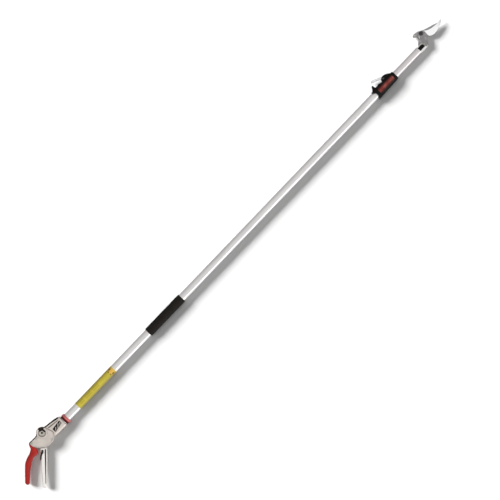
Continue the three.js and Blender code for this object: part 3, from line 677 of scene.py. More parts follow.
OXIDE = black_oxide()
GROUND = ground_steel("ground_pin", (0.75, 0.75, 0.75), 0.2)


def done(piece, finish, body, slot, *nodes):
    """Gives a piece its finish and body, and hides the CAD nodes that it stands for. slot is not used."""
    if len(piece.data.materials):
        piece.data.materials[0] = finish
    else:
        piece.data.materials.append(finish)
    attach(piece, body)
    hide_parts(*nodes)
    return piece


# ---- poles ----------------------------------------------------------------------------------------

def pole(name, ends, bore, radius, body, finish):
    """Plain tube: a profile of bore and outside, with ends broken by 0.25 mm, carried round the axis."""
    a, b, e = ends[0], ends[1], 0.25
    lengths = np.linspace(a + e, b - e, 25)
    outside = [(x, radius) for x in lengths]
    profile = [(a, bore + e), (a, radius - e), *outside, (b, radius - e), (b, bore + e), (b - e, bore),
               (a + e, bore)]
    done(turned(f"{name}_drawn", profile, 160), finish, body, "satin_tube", name)


def wrapped_label():
    """Thin sleeve of film round the pole, one turn and a small overlap: the radius rises by the film's
    thickness over the overlap, and the corners carry u along the pole and v round it."""
    start, end, outside, under, count = 33.0, 192.0, 12.8, 12.53, 180
    x = np.array([start, start, 33.2, *np.linspace(36, 189, 30), 191.8, end, end])
    lift = np.array([-0.24, -0.06, 0.0, *np.zeros(30), 0.0, -0.06, -0.24])
    t = turn(count)
    lap = 0.09 / (1 + np.exp(-(np.degrees(t) - 200) * 2)) / (1 + np.exp((np.degrees(t) - 232) * 2))
    r = outside + lift[:, None] + lap[None] * (lift[:, None] > -0.01)
    outer = np.stack([np.broadcast_to(x[:, None], r.shape), r * np.cos(t), r * np.sin(t)], -1)
    inner = np.stack([np.full((2, count), 0.0) + np.array([[end], [start]]),
                      under * np.cos(t) + np.zeros((2, 1)), under * np.sin(t) + np.zeros((2, 1))], -1)
    piece = surface("pole_label_film", np.concatenate([outer, inner]), joined=True)
    mesh = piece.data
    p = (read(mesh.vertices, "co", 3) - DATUM) / MM
    vert = read(mesh.loops, "vertex_index", 1, np.int32)
    v = (np.arctan2(p[:, 2], p[:, 1]) / TAU) % 1.0
    uv = np.stack([(p[vert, 0] - start) / (end - start), v[vert]], 1)
    corner = uv[:, 1].reshape(-1, 4)
    corner[(corner.max(1) - corner.min(1) > 0.5)[:, None] & (corner < 0.5)] += 1
    mesh.uv_layers.new(name="film").data.foreach_set("uv", uv.ravel())
    done(piece, FILM, "outer_pole", "yellow_film", "pole_label")


def foam_sleeve():
    """Foam sleeve: a rounded-end cylinder whose radius swells and dips by a fraction of a millimetre."""
    low, high, edge = 344, 491, 2.2
    x = np.linspace(low, high, 120)
    near = np.minimum(x - low, high - x)
    end = edge * (1 - np.sqrt(np.clip(1 - np.clip(1 - near / edge, 0, 1) ** 2, 0, 1)))
    swell = 0.10 * np.sin(x * 0.11) + 0.05 * np.sin(x * 0.37 + 1)
    outer = np.stack([x, 14.85 + swell - end], 1)
    profile = [(high, 12.55), (low, 12.55), *outer]
    done(turned("grip_sleeve_foam", profile, 128), FOAM, "outer_pole", "foam_sleeve", "grip_sleeve")


def collar():
    """Red front collar: a flared ring with a rolled lip and two shallow grooves. Its lip carries a paler
    red as a painted highlight.
    """
    t = np.linspace(-math.pi / 2, math.pi / 2, 14)
    lip = [(-18.8 + 4.6 * math.sin(a), 14.9 + 2.0 * max(math.cos(a), 0) ** 0.7) for a in t]
    profile = [(-13.2, 12.58), (-27.5, 12.58), (-27.5, 15.4), (-27.0, 16.2), (-26.2, 16.5), (-25.2, 16.2),
               (-24.6, 15.2), (-24.3, 14.3), (-23.8, 14.1), *lip, (-13.9, 14.4), (-13.2, 13.9)]
    # Painted highlight: the lip beyond x = -20.6 takes the paler red.
    ring = darkened(turned("front_collar_ring", profile, 128), RED_PAINTED_HIGHLIGHT,
                    [(-20.6, -30), (-12, -30), (-12, 30), (-20.6, 30)], -CLEAR, CLEAR)
    done(ring, RED, "outer_pole", "red_moulding", "front_collar")


pole("outer_tube", TUBE_ENDS, TUBE_BORE, TUBE_R, "outer_pole", TUBE)
pole("inner_tube", INNER_ENDS, INNER_BORE, INNER_R, "inner_pole", INNER_TUBE)
wrapped_label()
foam_sleeve()
collar()


# ---- handle ---------------------------------------------------------------------------------------

RIM = [
    (-113, 37, 5), (-105, 41.2, 5), (-95, 41.2, 5), (-87.4, 36, 5), (-83, 29, 4), (-76.5, 12, 8),
    (-73.6, 0, 8), (-80, -9.4, 8), (-89, -16.4, 8), (-100, -20, 8), (-111, -19.6, 8), (-123, -15, 8),
    (-134, -7, 8), (-143, 3, 8), (-150, 14, 6)]
PLATE = rounded([(-151, 31, 3), (-119, 30.2, 6), *RIM])
COVER = rounded([(-150.4, 27.2, 3), (-117.6, 26.4, 4), *RIM])
TANG = rounded([
    (-146, 26, 0.5), (-154, 22, 2), (-163, 5, 8), (-184, -1.4, 8), (-202, -9, 8), (-229, -33, 2),
    (-226, -38, 2), (-202, -16, 8), (-184, -8.4, 8), (-162, -3, 8), (-146, 6, 0.5)])
SCREWS = ((-143.5, 23.5), (-123.5, 24.0), (-93.0, -12.6))


def lever_point(s, w):
    """A point in the trigger's directions: s along it from its pivot, w across it towards the front."""
    return aimed(PIVOT, LEVER_AIM, s, w)


def lever_outline(*corners):
    """Rounded outline through corners (s, w, radius) in the trigger's directions."""
    return rounded([(*lever_point(s, w), r) for s, w, r in corners])


def handle_casting():
    """Lower casting with the pole's neck and the grip's tang: a rounded slab under the side plate, joined
    to a neck whose sections are superellipses of power 4.2, then hollowed for the trigger and bored."""
    body = slab("handle_body_casting", inset(even(PLATE, 300), 0.6), -17, 11.7, 0.4, 2.6, count=300)
    neck = loft("neck", [
        (-94, 27, -94, -6, 15.2), (-86, 31.0, -86, -10.6, 15.6), (-76, 30.0, -76, -13.6, 15.6),
        (-58, 27.5, -58, -14.5, 15.6), (-42, 24.9, -42, -14.9, 15.5), (-33, 21.8, -33, -15.1, 15.3),
        (-28, 18.6, -28, -15.0, 15.0)], 120, 4.2, 90, (3.0, 3.0))
    body = join(body, neck)
    inner = inset(even(PLATE, 300), 4.2)
    sweep = np.array([lever_point(6, -13.5), lever_point(70, -12.5), (PIVOT[0] - 70, PIVOT[1] - 96),
                      (PIVOT[0] + 12, PIVOT[1] - 96), (PIVOT[0] + 7, PIVOT[1] - 30),
                      (PIVOT[0] + 12, PIVOT[1] - 4)])
    seam = inset(even(PLATE, 300), -1.1)
    body = cut(
        body,
        prism(inner, -13, 11.9),
        prism(seam, 11.75, CLEAR),
        bore_tool(-90, -60, 11.3, 64),
        bore_tool(-62.3, 10, POLE_FIT, 96),
    )
    body = join(body, post_tool(PIVOT, 12, -13.5, -8),
                *[post_tool(at, 4.2, -13.5, 11.6, 32) for at in SCREWS])
    panel = rounded([(-69.5, 8, 3), (-36, 11.6, 3), (-36, 0.6, 3), (-69.5, -5.6, 3)])
    ledge = rounded([(-96, 50, 1), (-84, 26.6, 1), (-78, 26.0, 6), (-56, 22.6, 6), (-36, 17.6, 4),
                     (-33.6, 17, 1), (-30, 50, 1)])
    flank = rounded([(-75.5, 20.6, 1.2), (-40, 15.8, 1.2), (-39, 13.6, 1.2), (-75.5, 17.8, 1.2)])
    # Panel, ledge and flank are cut in as recesses whose faces are then painted dark as shade.
    hollows = ((panel, 13.6, 0.4, 0.3, 13.2, 14.2), (ledge, 9.4, 0.8, 0.2, 9.0, 13.4),
               (flank, 13.2, 0.4, 0.3, 12.8, 15.0))
    body = cut(
        body,
        prism(sweep, -8.9, 8.9),
        post_tool(PIVOT, PIVOT_HOLE, -CLEAR, 0, 48),
        post_tool(PIVOT, 9.2, -CLEAR, -12.5, 64),
        *[post_tool(at, 1.6, 3, 20, 24) for at in SCREWS],
        *[slab("tool", outline, floor, 22, 0.0, edge, 4, 120) for outline, floor, edge, *_ in hollows],
    )
    for x, length in ((-63.4, 7.4), (-52.4, 11.5), (-42.4, 6.4)):
        half = length / 2
        bar = np.array([(x - half, 2.6 - half), (x - half + 3.4, 2.6 - half), (x + half + 3.4, 2.6 + half),
                        (x + half, 2.6 + half)])
        bar[:, 1] += (x + 52.4) * 0.12
        body = join(body, slab("tool", rounded([(*q, 1.2) for q in bar]), 13, 15.5, 0.45, 0.0, 4, 80))
    # Painted shade: the recesses' faces take the dark finish.
    for outline, _, _, margin, low, high in hollows:
        darkened(body, PAINTED_SHADE, inset(even(outline, 120), -margin), low, high)
    # A bead along the side plate's upper edge, painted dark as shade.
    bead = rounded([(-149.4, 30.2, 0.8), (-119.4, 29.5, 0.8), (-115.2, 34.6, 0.8), (-115.8, 32.0, 0.8),
                    (-118.4, 26.9, 0.8), (-149.9, 27.6, 0.8)])
    body = join(body, slab("tool", bead, 11.0, 13.4, 0.5, 0.0, 4, 120))
    darkened(body, PAINTED_SHADE, inset(even(bead, 120), -0.4), 11.72, 13.6)
    body = join(body, slab("tool", TANG, -4, 4, 0.5, count=160))
    done(body, CAST, "outer_pole", "cast_handle", "handle_body")


def side_plate():
    """Side plate: a rounded slab with a raised rim along its edge, and round the pivot a turned hub whose
    profile rises to a rolled lip and drops into a counterbore for the bolt's head."""
    path = even(COVER, 300)
    plate = slab("handle_side_cover", path, 12, 15.2, 1.2, 0.4, count=300)
    rim = [(0.7, 14.6), (0.8, 15.3), (1.2, 15.9), (1.9, 16.15), (2.6, 15.9), (3.2, 15.4), (3.5, 14.6)]
    band = surface("tool", [lifted(inset(path, d), z) for d, z in rim], joined=True)
    plate = cut(plate, post_tool(PIVOT, 12.4, 0, CLEAR))
    hub = spindle("tool", PIVOT, [
        (17.5, 12.3), (17.6, 15.4), (17.3, 16.1), (16.7, 16.6), (15.9, 16.8), (13.6, 16.8), (12.7, 16.5),
        (12.1, 15.9), (11.8, 15.0), (11.8, 10.5), (11.4, 9.9), (4.1, 9.9), (4.1, 7.9), (13.0, 7.9),
        (13.0, 12.3)], 120, joined=True)
    plate = join(plate, hub, band)
    # A kidney pocket in the hub's floor, painted dark as shade.
    plate = cut(plate, prism(sector(PIVOT, 6.9, 11.5, -32, 112), 8.4, 9.95))
    darkened(plate, PAINTED_SHADE, sector(PIVOT, 0.0, 12.6, -32, 112), 8.1, 15.9)
    # A flat cut into the rim's upper side, painted dark as shade.
    plate = cut(plate, prism(sector(PIVOT, 10.6, 19.5, 22, 92, 30), 13.3, CLEAR))
    darkened(plate, PAINTED_SHADE, sector(PIVOT, 10.2, 20, 20, 94, 30), 13.0, 16.9)
    plate = cut(plate, *[post_tool(at, 1.9, 0, CLEAR, 32) for at in SCREWS],
                *[spindle("tool", at, [(3.3, 13.7), (3.5, 15.0), (3.9, 30)], 40) for at in SCREWS])
    done(plate, CAST, "outer_pole", "cast_handle", "handle_side_plate")


def screw_head(name, at, low, high, radius):
    """Domed screw head with a cross recess, on its shank."""
    head = spindle(name, at, [(1.5, low - 9), (1.5, low), (radius * 0.9, low), (radius, low + 0.3),
                              (radius, high - 0.5), (radius * 0.86, high - 0.15), (radius * 0.45, high),
                              (0.05, high)], 48)
    arms = [box_tool((at[0] - a, at[1] - b, high - 0.9), (at[0] + a, at[1] + b, high + 3))
            for a, b in ((1.7, 0.42), (0.42, 1.7))]
    return cut(head, *arms)


def handle_fasteners():
    """Cap bolt with a knurled head and hexagon socket, its nut, and the small screws."""
    bolt = spindle("pivot_bolt_shank", PIVOT, [(4, -16), (4, 10.4)], 48)
    knurl = 1 + 0.012 * np.cos(36 * turn(144))
    head = spindle("tool", PIVOT, [(5.8, 10.0), (6.4, 10.4), (6.4, 13.2), (6.0, 14.1), (5.4, 14.4),
                                   (0.05, 14.4)],
                   144, shape=knurl)
    bolt = join(bolt, head)
    socket = spindle("tool", PIVOT, [(3.4, 10.8), (3.4, 13.9), (3.9, 14.5), (4.3, 20)], 72, shape=hexagon())
    # Painted shade in the hexagon socket.
    bolt = darkened(cut(bolt, socket), PAINTED_SHADE, circle(PIVOT, 3.9), 10.0, 13.6)
    done(bolt, ZINC, "outer_pole", "zinc_parts", "pivot_bolt")
    nut = spindle("pivot_nut_hex", PIVOT, [(6.4, -16.8), (7.3, -16.2), (7.3, -13.2), (6.4, -12.6)], 72,
                  shape=hexagon())
    nut = cut(nut, post_tool(PIVOT, 4.05, -CLEAR, 0, 48))
    done(nut, ZINC, "outer_pole", "zinc_parts", "pivot_nut")
    for i, at in enumerate(SCREWS, 1):
        done(screw_head(f"plate_screw_head_{i}", at, 13.9, 15.3, 3.2), ZINC, "outer_pole", "zinc_parts",
             f"plate_screw_{i}")


def red_grip():
    """Dipped grip: sections between the palm side and the finger side swept on cubic curves, closed round
    at the free end, and cut clear of the casting and its tang."""
    grip = loft("handle_grip_vinyl", [
        (-151.6, 31.2, -145.6, -1.4, 12.4), (-156.6, 24.0, -151.4, -9.6, 12.4),
        (-161.2, 14.2, -161.0, -12.2, 12.0), (-173.0, 7.4, -172.0, -11.8, 11.6),
        (-188.0, 3.0, -186.0, -16.4, 11.4), (-203.0, -3.6, -199.0, -24.6, 11.4),
        (-219.0, -17.4, -212.0, -33.8, 11.2), (-234.0, -32.4, -226.0, -46.2, 10.8),
        (-247.4, -45.6, -238.4, -57.0, 10.4), (-250.9, -49.4, -241.8, -60.6, 10.2)], 96, 2.5, 200,
        (2.0, 7.5))
    plate = inset(even(PLATE, 300), -0.3)
    grip = cut(grip, prism(plate, -CLEAR, CLEAR),
               slab("tool", inset(even(TANG, 160), -0.15), -4.15, 4.15, count=160))
    done(grip, VINYL, "outer_pole", "dipped_grip", "handle_grip")


def neck_screw():
    """Set screw in the underside edge of the neck: a disc with a slot, turned on its side."""
    t = turn(48)
    rings = [np.stack([-50 + r * np.cos(t), np.full(48, y), r * np.sin(t)], 1)
             for r, y in ((3.0, -15.45), (3.0, -16.4), (2.6, -16.85), (0.05, -16.9))]
    screw = surface("neck_set_screw", rings)
    screw = cut(screw, box_tool((-52.2, -20, -0.45), (-47.8, -16.3, 0.45)))
    done(screw, OXIDE, "outer_pole", "dark_fasteners", "neck_screw")


handle_casting()
side_plate()
handle_fasteners()
red_grip()
neck_screw()


# ---- trigger --------------------------------------------------------------------------------------

def trigger():
    """Trigger casting: a bar of squarish superellipse sections that taper to a rounded tip, a thin web to
    the hub, a slotted arm for the drive pin, and a long pocket in each face."""
    rows = [(46, 12.2, -9.6, 7.6), (60, 12.2, -9.6, 8), (80, 11.5, -9.4, 8), (100, 10.3, -9.1, 8),
            (120, 9.0, -8.8, 7.9), (140, 7.6, -8.5, 7.7), (155, 6.4, -8.1, 7.4), (169.4, 5.4, -7.6, 7.0)]
    bar = loft("trigger_lever_bar", [(*lever_point(s, w), *lever_point(s, v), h) for s, w, v, h in rows],
               96, 3.6, 180, (2.0, 6.5))
    web = lever_outline((-9, -9, 8), (-9, 9, 8), (20, 11.4, 8), (60, 9.6, 8), (78, 8, 2), (78, -6, 2),
                        (60, -7, 8), (20, -9.6, 8))
    lean = -math.pi / 2 - SWING / 2
    reach = PIVOT[1] * 1.011
    arm = rounded([(*aimed(PIVOT, lean, s, w), r) for s, w, r in
                   ((0, -7, 0.5), (reach + 6, -6, 5), (reach + 6, 6, 5), (0, 7, 0.5))])
    slot = rounded([(*aimed(PIVOT, lean, reach + s, w), 1.2)
                    for s, w in ((-3.2, -2.7), (3.2, -2.7), (3.2, 2.7), (-3.2, 2.7))])
    bar = join(bar, slab("tool", web, -3, 3, 0.6, count=160),
               slab("tool", arm, -2.98, 2.98, 0.5, count=120), post_tool(PIVOT, 10, -7.6, 7.6))
    pocket = lever_outline((50, 9.0, 2), (100, 6.6, 8), (156, 3.4, 1), (156, 1.5, 1), (100, 3.2, 8),
                           (50, 4.6, 2))
    bar = cut(bar, post_tool(PIVOT, PIVOT_HOLE, -CLEAR, CLEAR), slab("tool", slot, -CLEAR, CLEAR, count=80),
              slab("tool", pocket, 2.0, CLEAR, 0.0, 1.0, count=200),
              slab("tool", pocket, -CLEAR, -2.0, 1.0, 0.0, count=200))
    # Painted shade in both pockets.
    darkened(bar, PAINTED_SHADE, inset(even(pocket, 200), -0.3), -6.6, 6.6)
    done(bar, LEVER, "trigger", "lever_casting", "trigger_lever")


def latch():
    """Safety latch: a curved thumb piece with small ridges, on a domed pin."""
    base_s, base_w = 56.5, -2.0

    def at(s, w):
        """A point beside the latch's pin, in the trigger's directions."""
        return lever_point(base_s + s, base_w + w)

    edge = ((-4.6, 3.2), (4, 3.4), (12, -2.6), (26, -5.6), (28, -7.2), (25, -8.8), (12, -6.8), (3, -4.4),
            (-4.6, -3.2))
    body = slab("safety_latch_arm", rounded([(*at(s, w), 3) for s, w in edge]), 8.4, 11.2, 0.7, count=160)
    corners = ((-0.5, -8.0), (0.5, -8.0), (0.5, -5.6), (-0.5, -5.6))
    for s in (17.5, 20.0, 22.5, 25.0):
        ridge = rounded([(*at(s + a, b), 0.3) for a, b in corners], 4)
        body = join(body, slab("tool", ridge, 10.8, 11.7, 0.3, 0.0, 3, 40))
    pin = at(0, 0)
    body = cut(body, post_tool(pin, 1.75, 0, CLEAR, 32))
    done(body, BLACK, "latch", "black_moulding", "safety_latch")
    head = [(1.7, 8.05), (1.7, 11.45), (2.8, 11.45), (3.0, 11.8), (2.6, 12.2), (1.6, 12.4), (0.05, 12.45)]
    done(spindle("latch_pin_head", pin, head, 48), OXIDE, "trigger", "dark_fasteners", "latch_pin")


trigger()
latch()


# ---- clamp lock -----------------------------------------------------------------------------------

def lock_housing():
    """Clamp housing: a turned shell flaring to a scalloped skirt, with a thumb fin, two hinge ears either
    side of the lever's bay, a recess for the cover, and a flat underside."""
    shell = turned("lock_body_shell", [
        (1340, 11), (1432, 11), (1432, 13.4), (1431.2, 14.2), (1429, 14.7), (1408, 15.4), (1386, 16.0),
        (1366, 16.9), (1352, 17.1), (1346, 17.9), (1340, 19.1)], 160, joined=True)
    shell = cut(shell, box_tool((1300, 14.6, -40), (1352, 40, 40)))
    fin = rounded([(1345, 8, 1), (1345.4, 13.6, 2), (1350.4, 18.4, 3), (1356.4, 27.4, 1.6),
                   (1359.4, 27, 1.4), (1361.4, 17, 3), (1363.4, 13.4, 2), (1363, 8, 1)])
    stop = rounded([(1368, 13.4, 1), (1369.6, 16.4, 2.4), (1372.6, 18, 2.4), (1378, 17.8, 2.4),
                    (1383, 14.6, 2), (1383, 13.4, 1)])
    ears = rounded([(1386, 6, 1), (1388.5, 14, 3), (1391, 21, 4), (1395, 24.4, 4), (1401, 26, 4),
                    (1408, 25, 5), (1416, 21.4, 5), (1424, 15, 5), (1431, 11, 3), (1431, 6, 1)])
    shell = join(shell, slab("tool", fin, -6, 6, 1.2, count=120),
                 slab("tool", ears, -9.5, 9.5, 1.6, count=200), slab("tool", stop, -6, 6, 0.8, count=100))
    cover = rounded([(1361, 10, 5), (1422, 9, 5), (1422, -9.4, 5), (1361, -10, 5)])
    bay = rounded([(1358, 40, 1), (1367, 22, 2), (1370, 18.6, 3), (1380, 18.4, 3), (1388, 14.8, 2),
                   (1404, 14.2, 4), (1408.6, 19, 4), (1408.6, 28, 2), (1400, 40, 1)])
    t = turn(32)
    well = surface("tool", [np.stack([CLAMP_PIVOT[0] + 4.2 * np.cos(t), np.full(32, y), 4.2 * np.sin(t)], 1)
                            for y in (5, 20)])
    shell = cut(
        shell,
        box_tool((1300, -40, -40), (1460, 40, -17)),
        post_tool((1328, -3), 22, -40, 40, 128),
        bore_tool(1300, 1385.3, POLE_FIT, 96),
        bore_tool(1384, 1460, 11.3, 96),
        slab("tool", inset(even(cover, 160), -0.3), 12.95, 40, count=160),
        slab("tool", bay, -5.4, 5.4, count=160),
        well,
        post_tool(CLAMP_PIVOT, CLAMP_HOLE, -CLEAR, CLEAR, 32),
    )
    done(shell, BLACK, "outer_pole", "black_moulding", "lock_body")
    cap = arched_cap(cover)
    for x in (1372, 1376.5, 1381, 1385.5, 1397.5, 1402, 1406.5, 1411):
        bar = rounded([(x, 4.6, 0.6), (x + 1.5, 4.6, 0.6), (x + 1.5, -3.4, 0.6), (x, -3.4, 0.6)], 4)
        cap = cut(cap, prism(bar, 17.7, 25))
    done(cap, RED_CAP_PAINTED_LIGHT, "outer_pole", "red_moulding", "lock_cover")


def arched_cap(outline):
    """Red cap: its outline shrinks towards the crest while the height follows an arch across the pole,
    z = base + rise * sqrt(1 - (y / reach)^2), so that its sides fall away like the housing's."""
    low, high, middle, reach = 1361, 1422, 1391.5, 14.2
    path = even(outline, 240)
    rings = [lifted(path, 13.0)]
    for k in np.concatenate([[0.0, 0.03, 0.07], np.linspace(0.12, 0.97, 16)]):
        edge = np.array([middle, 0.0]) + (path - (middle, 0.0)) * (1 - np.array([[k * 0.30, k]]))
        if k > 0.12:
            edge[:, 0] = middle + (path[:, 0] - middle) * (1 - 0.10 - 0.2 * (k - 0.12))
        arch = np.sqrt(np.clip(1 - (edge[:, 1] / reach) ** 2, 0, 1))
        near = np.clip(np.minimum(edge[:, 0] - low, high - edge[:, 0]) / 5.0, 0, 1)
        drop = 0.8 if k == 0 else 0.25 if k < 0.05 else 0
        z = 7.2 + 11.4 * arch + 0.6 * np.sqrt(1 - (1 - near) ** 2) - drop
        rings.append(np.column_stack([edge, np.maximum(z, 13.2)]))
    return surface("lock_cover_pad", rings)


def clamp_lever():
    """Clamp lever: a tapering plated arm with rounded edges on a hub, and the pin through its ears."""
    arm = rounded([(1400.6, 20.4, 1), (1399.4, 23, 2), (1396.4, 27, 3), (1388, 31.4, 8), (1373, 38, 6),
                   (1366, 39.4, 4), (1362.4, 35.2, 3), (1367, 32.6, 4), (1379, 28.8, 6), (1389.4, 22.6, 5),
                   (1394.8, 17.4, 2), (1398, 16, 1)])
    lever = slab("lock_lever_arm", arm, -5, 5, 1.6, 1.5, steps=8, count=220)
    lever = join(lever, post_tool(CLAMP_PIVOT, 4.1, -4.6, 4.6, 64))
    lever = cut(lever, post_tool(CLAMP_PIVOT, CLAMP_HOLE, -CLEAR, CLEAR, 32))
    done(lever, LEVER_PLATE, "clamp", "clamp_chrome", "lock_lever")
    profile = [(1.5, -9.9), (1.9, -9.5), (1.9, 9.75), (2.8, 9.75), (2.9, 10.1), (2.4, 10.5), (0.05, 10.6)]
    done(spindle("lock_pin_head", CLAMP_PIVOT, profile, 48), OXIDE, "outer_pole", "dark_fasteners",
         "lock_pin")


lock_housing()
clamp_lever()


# ---- cutting head ---------------------------------------------------------------------------------

HOOK = [(1590, 27, 4), (1582, 37.4, 7), (1573, 43, 7), (1558, 45, 4), (1552, 40.4, 1.2),
        (1552.4, 37.6, 1.2), (1559.4, 32, 4), (1559.6, 26, 5)]


def head_frame():
    """Head frame: a round plug for the inner tube, a boxed neck open on its upper side for the rod's end,
    and a lower plate with the branch hook, joined to the upper plate through the hook's web."""
    lower = rounded([(1534.2, -11.6, 1), (1568, -11.8, 3), (1577, 3, 6), (1587.4, 17, 6), *HOOK,
                     (1549.6, 15.4, 4), (1543, 9.6, 3), (1534.2, 9.6, 1)])
    body = slab("head_frame_forging", lower, -8, -3.6, 0.9, count=260)
    web = rounded([(1552.8, 37.8, 1), (1552.6, 40, 1), (1558.2, 44.4, 3), (1566, 43.4, 2), (1562, 34, 2)])
    ring = [(1500, 0.01), (1500, 8.8), (1501, 9.8), (1533.9, 9.8), (1533.9, 9.8), (1534.1, 11.0),
            (1536.4, 11.0), (1537, 10.4), (1537, 0.01)]
    body = join(
        body,
        turned("tool", ring, 96, joined=False),
        box_tool((1534.3, -11.3, -7.6), (1561.6, -5.8, 3.2)),
        slab("tool", web, -7.6, 3.5, count=100),
    )
    body = cut(
        body,
        bore_tool(1490, 1540, 3.55, 48),
        box_tool((1536.2, -5.5, -3.6), (1600, 9, 30)),
        post_tool(BLADE_PIVOT, BLADE_HOLE, -CLEAR, CLEAR, 48),
    )
    done(body, SOCKET, "inner_pole", "head_steel", "head_frame")


def head_top_plate():
    """Upper head plate with a rounded edge, a short slot, and counterbores for its two rivets."""
    upper = rounded([(1544, 9.6, 2), (1549.6, 15.4, 4), (1555.4, 20.4, 4), *HOOK[::-1], (1587.4, 17, 6),
                     (1582.4, 9.6, 5), (1577, 3, 5), (1573, -2.6, 5), (1567.4, -11.6, 2.5),
                     (1561.6, -11.8, 2.5), (1560.6, -6, 2), (1560.4, 8, 4), (1556, 9.8, 2)])
    plate = slab("head_upper_plate", upper, 3.6, 6.6, 0.9, 0.3, count=300)
    slot = rounded([(1559.9, 24.2, 1.2), (1563.0, 22.0, 1.2), (1570.2, 30.4, 1.2), (1567.2, 32.9, 1.2)])
    rivets = ((1564.6, -8.6), (1558.6, 40.0))
    plate = cut(plate, post_tool(BLADE_PIVOT, BLADE_HOLE, -CLEAR, CLEAR, 48),
                slab("tool", slot, 5.6, CLEAR, 0.0, 0.3, 3, 80),
                *[post_tool(at, 2.6, 5.9, CLEAR, 40) for at in rivets])
    strip = rounded([(1561.0, 24.2, 0.9), (1563.0, 22.9, 0.9), (1569.0, 30.2, 0.9), (1567.0, 31.8, 0.9)])
    plate = join(plate, slab("tool", strip, 5.5, 7.3, 0.5, 0.0, 4, 60))
    darkened(plate, BRIGHT_RUB, inset(even(strip, 60), -0.15), 6.62, 8)
    # Painted shade in the slot.
    darkened(plate, PAINTED_SHADE, inset(even(slot, 80), -0.2), 5.0, 6.4)
    done(plate, FORGED, "inner_pole", "head_steel", "head_top_plate")
    for i, at in enumerate(rivets, 1):
        dome = [(2.4, 5.95), (2.5, 6.1), (2.5, 6.6), (2.2, 7.0), (1.4, 7.25), (0.05, 7.3)]
        done(spindle(f"head_rivet_dome_{i}", at, dome, 40), ZINC, "inner_pole", "zinc_parts",
             f"head_rivet_{i}")


def blades():
    """Fixed counter blade and moving blade: flat plates whose working edges are ground to a bevel."""
    counter = rounded([
        (1569, 25, 5), (1570, 36, 6), (1578, 39.4, 6), (1585.4, 34.4, 6), (1592.4, 28, 5), (1600, 23.2, 7),
        (1609, 20, 7), (1620, 17.9, 7), (1633, 16.8, 6), (1645, 17.6, 4), (1651, 18.2, 1.2),
        (1651.6, 16.6, 1.2), (1644, 10.6, 6), (1634, 6.4, 6), (1625, 3.2, 7), (1616, 1.4, 7),
        (1606, 1.2, 7), (1597, 3.2, 7), (1589.6, 7.2, 4), (1588.4, 12, 4), (1588.4, 20, 2), (1583, 21.8, 2),
        (1574, 21.6, 4)])
    plate = slab("counter_blade_plate", counter, 0.0, 3.3, 0.9, 0.2, 7, 320)
    plate = cut(plate, post_tool(BLADE_PIVOT, BLADE_HOLE, -CLEAR, CLEAR, 48))
    done(plate, CHROME, "inner_pole", "clamp_chrome", "counter_blade")
    moving = rounded([
        (1567.4, 31, 6), (1572, 39.6, 6), (1580, 39.2, 6), (1586, 35.4, 5), (1599, 29.6, 8),
        (1611, 26.2, 8), (1621, 23, 8), (1631, 19.4, 8), (1642, 14.6, 1.2), (1641, 12.8, 1.2),
        (1628, 11.6, 8), (1614, 8.8, 9), (1601, 9.8, 9), (1590, 14.6, 8), (1582.4, 21, 5),
        *beside(TANG_PIN, (6.4, -1, 5), (3, -6.2, 4), (-4.6, -5, 4), (-6, 3, 4))])
    blade = slab("cutting_blade_plate", moving, -3.3, -0.3, 0.35, 0.8, 5, 320)
    aim = math.atan2(-15, -HALF_STROKE)
    slot = rounded([(*aimed(TANG_PIN, aim, s, w), 1)
                    for s, w in ((-3.2, -2.2), (2.3, -2.2), (2.3, 2.2), (-3.2, 2.2))])
    blade = cut(blade, post_tool(BLADE_PIVOT, BLADE_HOLE, -CLEAR, CLEAR, 48),
                slab("tool", slot, -CLEAR, CLEAR, count=80))
    done(blade, COATED, "blade", "blade_dark", "cutting_blade")


def head_fasteners():
    """Blade bolt with a domed socket head, and its nut."""
    bolt = spindle("blade_bolt_cap", BLADE_PIVOT, [
        (3, -11), (3, 6.7), (6.9, 6.7), (7.1, 6.9), (7.0, 7.5), (6.6, 7.68), (5.3, 7.72), (5.2, 8.7),
        (4.8, 9.5), (3.9, 10), (0.05, 10)], 64)
    bolt = cut(bolt, spindle("tool", BLADE_PIVOT, [(2.4, 8.0), (2.4, 9.7), (2.7, 10.1), (2.9, 15)], 72,
                             shape=hexagon()))
    darkened(bolt, FORGED_DARK, circle(BLADE_PIVOT, 9), 6.0, 7.69)
    # Painted shade in the hexagon socket.
    darkened(bolt, PAINTED_SHADE, circle(BLADE_PIVOT, 3.0), 7.8, 9.7)
    done(bolt, OXIDE, "inner_pole", "dark_fasteners", "blade_bolt")
    nut = spindle("blade_nut_hex", BLADE_PIVOT, [(4.8, -12), (5.5, -11.5), (5.5, -8.6), (4.8, -8.1)], 72,
                  shape=hexagon())
    done(cut(nut, post_tool(BLADE_PIVOT, 3.05, -CLEAR, 0, 48)), ZINC, "inner_pole", "zinc_parts",
         "blade_nut")


def rod_parts():
    """Rod end block in black, and the steel tongue that reaches the blade's tang."""
    block = rounded([(1536.5, -4.6, 1), (1558, -4.6, 2), (1558, 3, 3), (1554.6, 6.8, 3), (1536.5, 6.8, 1)])
    block = slab("rod_end_block", block, -3.3, 3.3, 0.8, count=140)
    block = cut(block, bore_tool(1520, 1541.3, 3.25, 48))
    done(block, BLACK, "head_drive", "black_moulding", "rod_end")
    reach = rounded([(1558.4, -4.4, 0.3), (1562, -4.4, 3),
                     *beside(TANG_PIN, (3.6, -3.8, 2), (4.2, 2.6, 4), (-1.5, 4.4, 4), (-4.2, 2.6, 3)),
                     (1558.4, 5, 0.3)])
    tongue = slab("rod_tongue_plate", reach, 0.4, 3.0, 0.3, count=120)
    done(cut(tongue, post_tool(TANG_PIN, 2.05, -CLEAR, CLEAR, 40)), ZINC, "head_drive", "zinc_parts",
         "rod_tongue")


head_frame()
head_top_plate()
blades()
head_fasteners()
rod_parts()


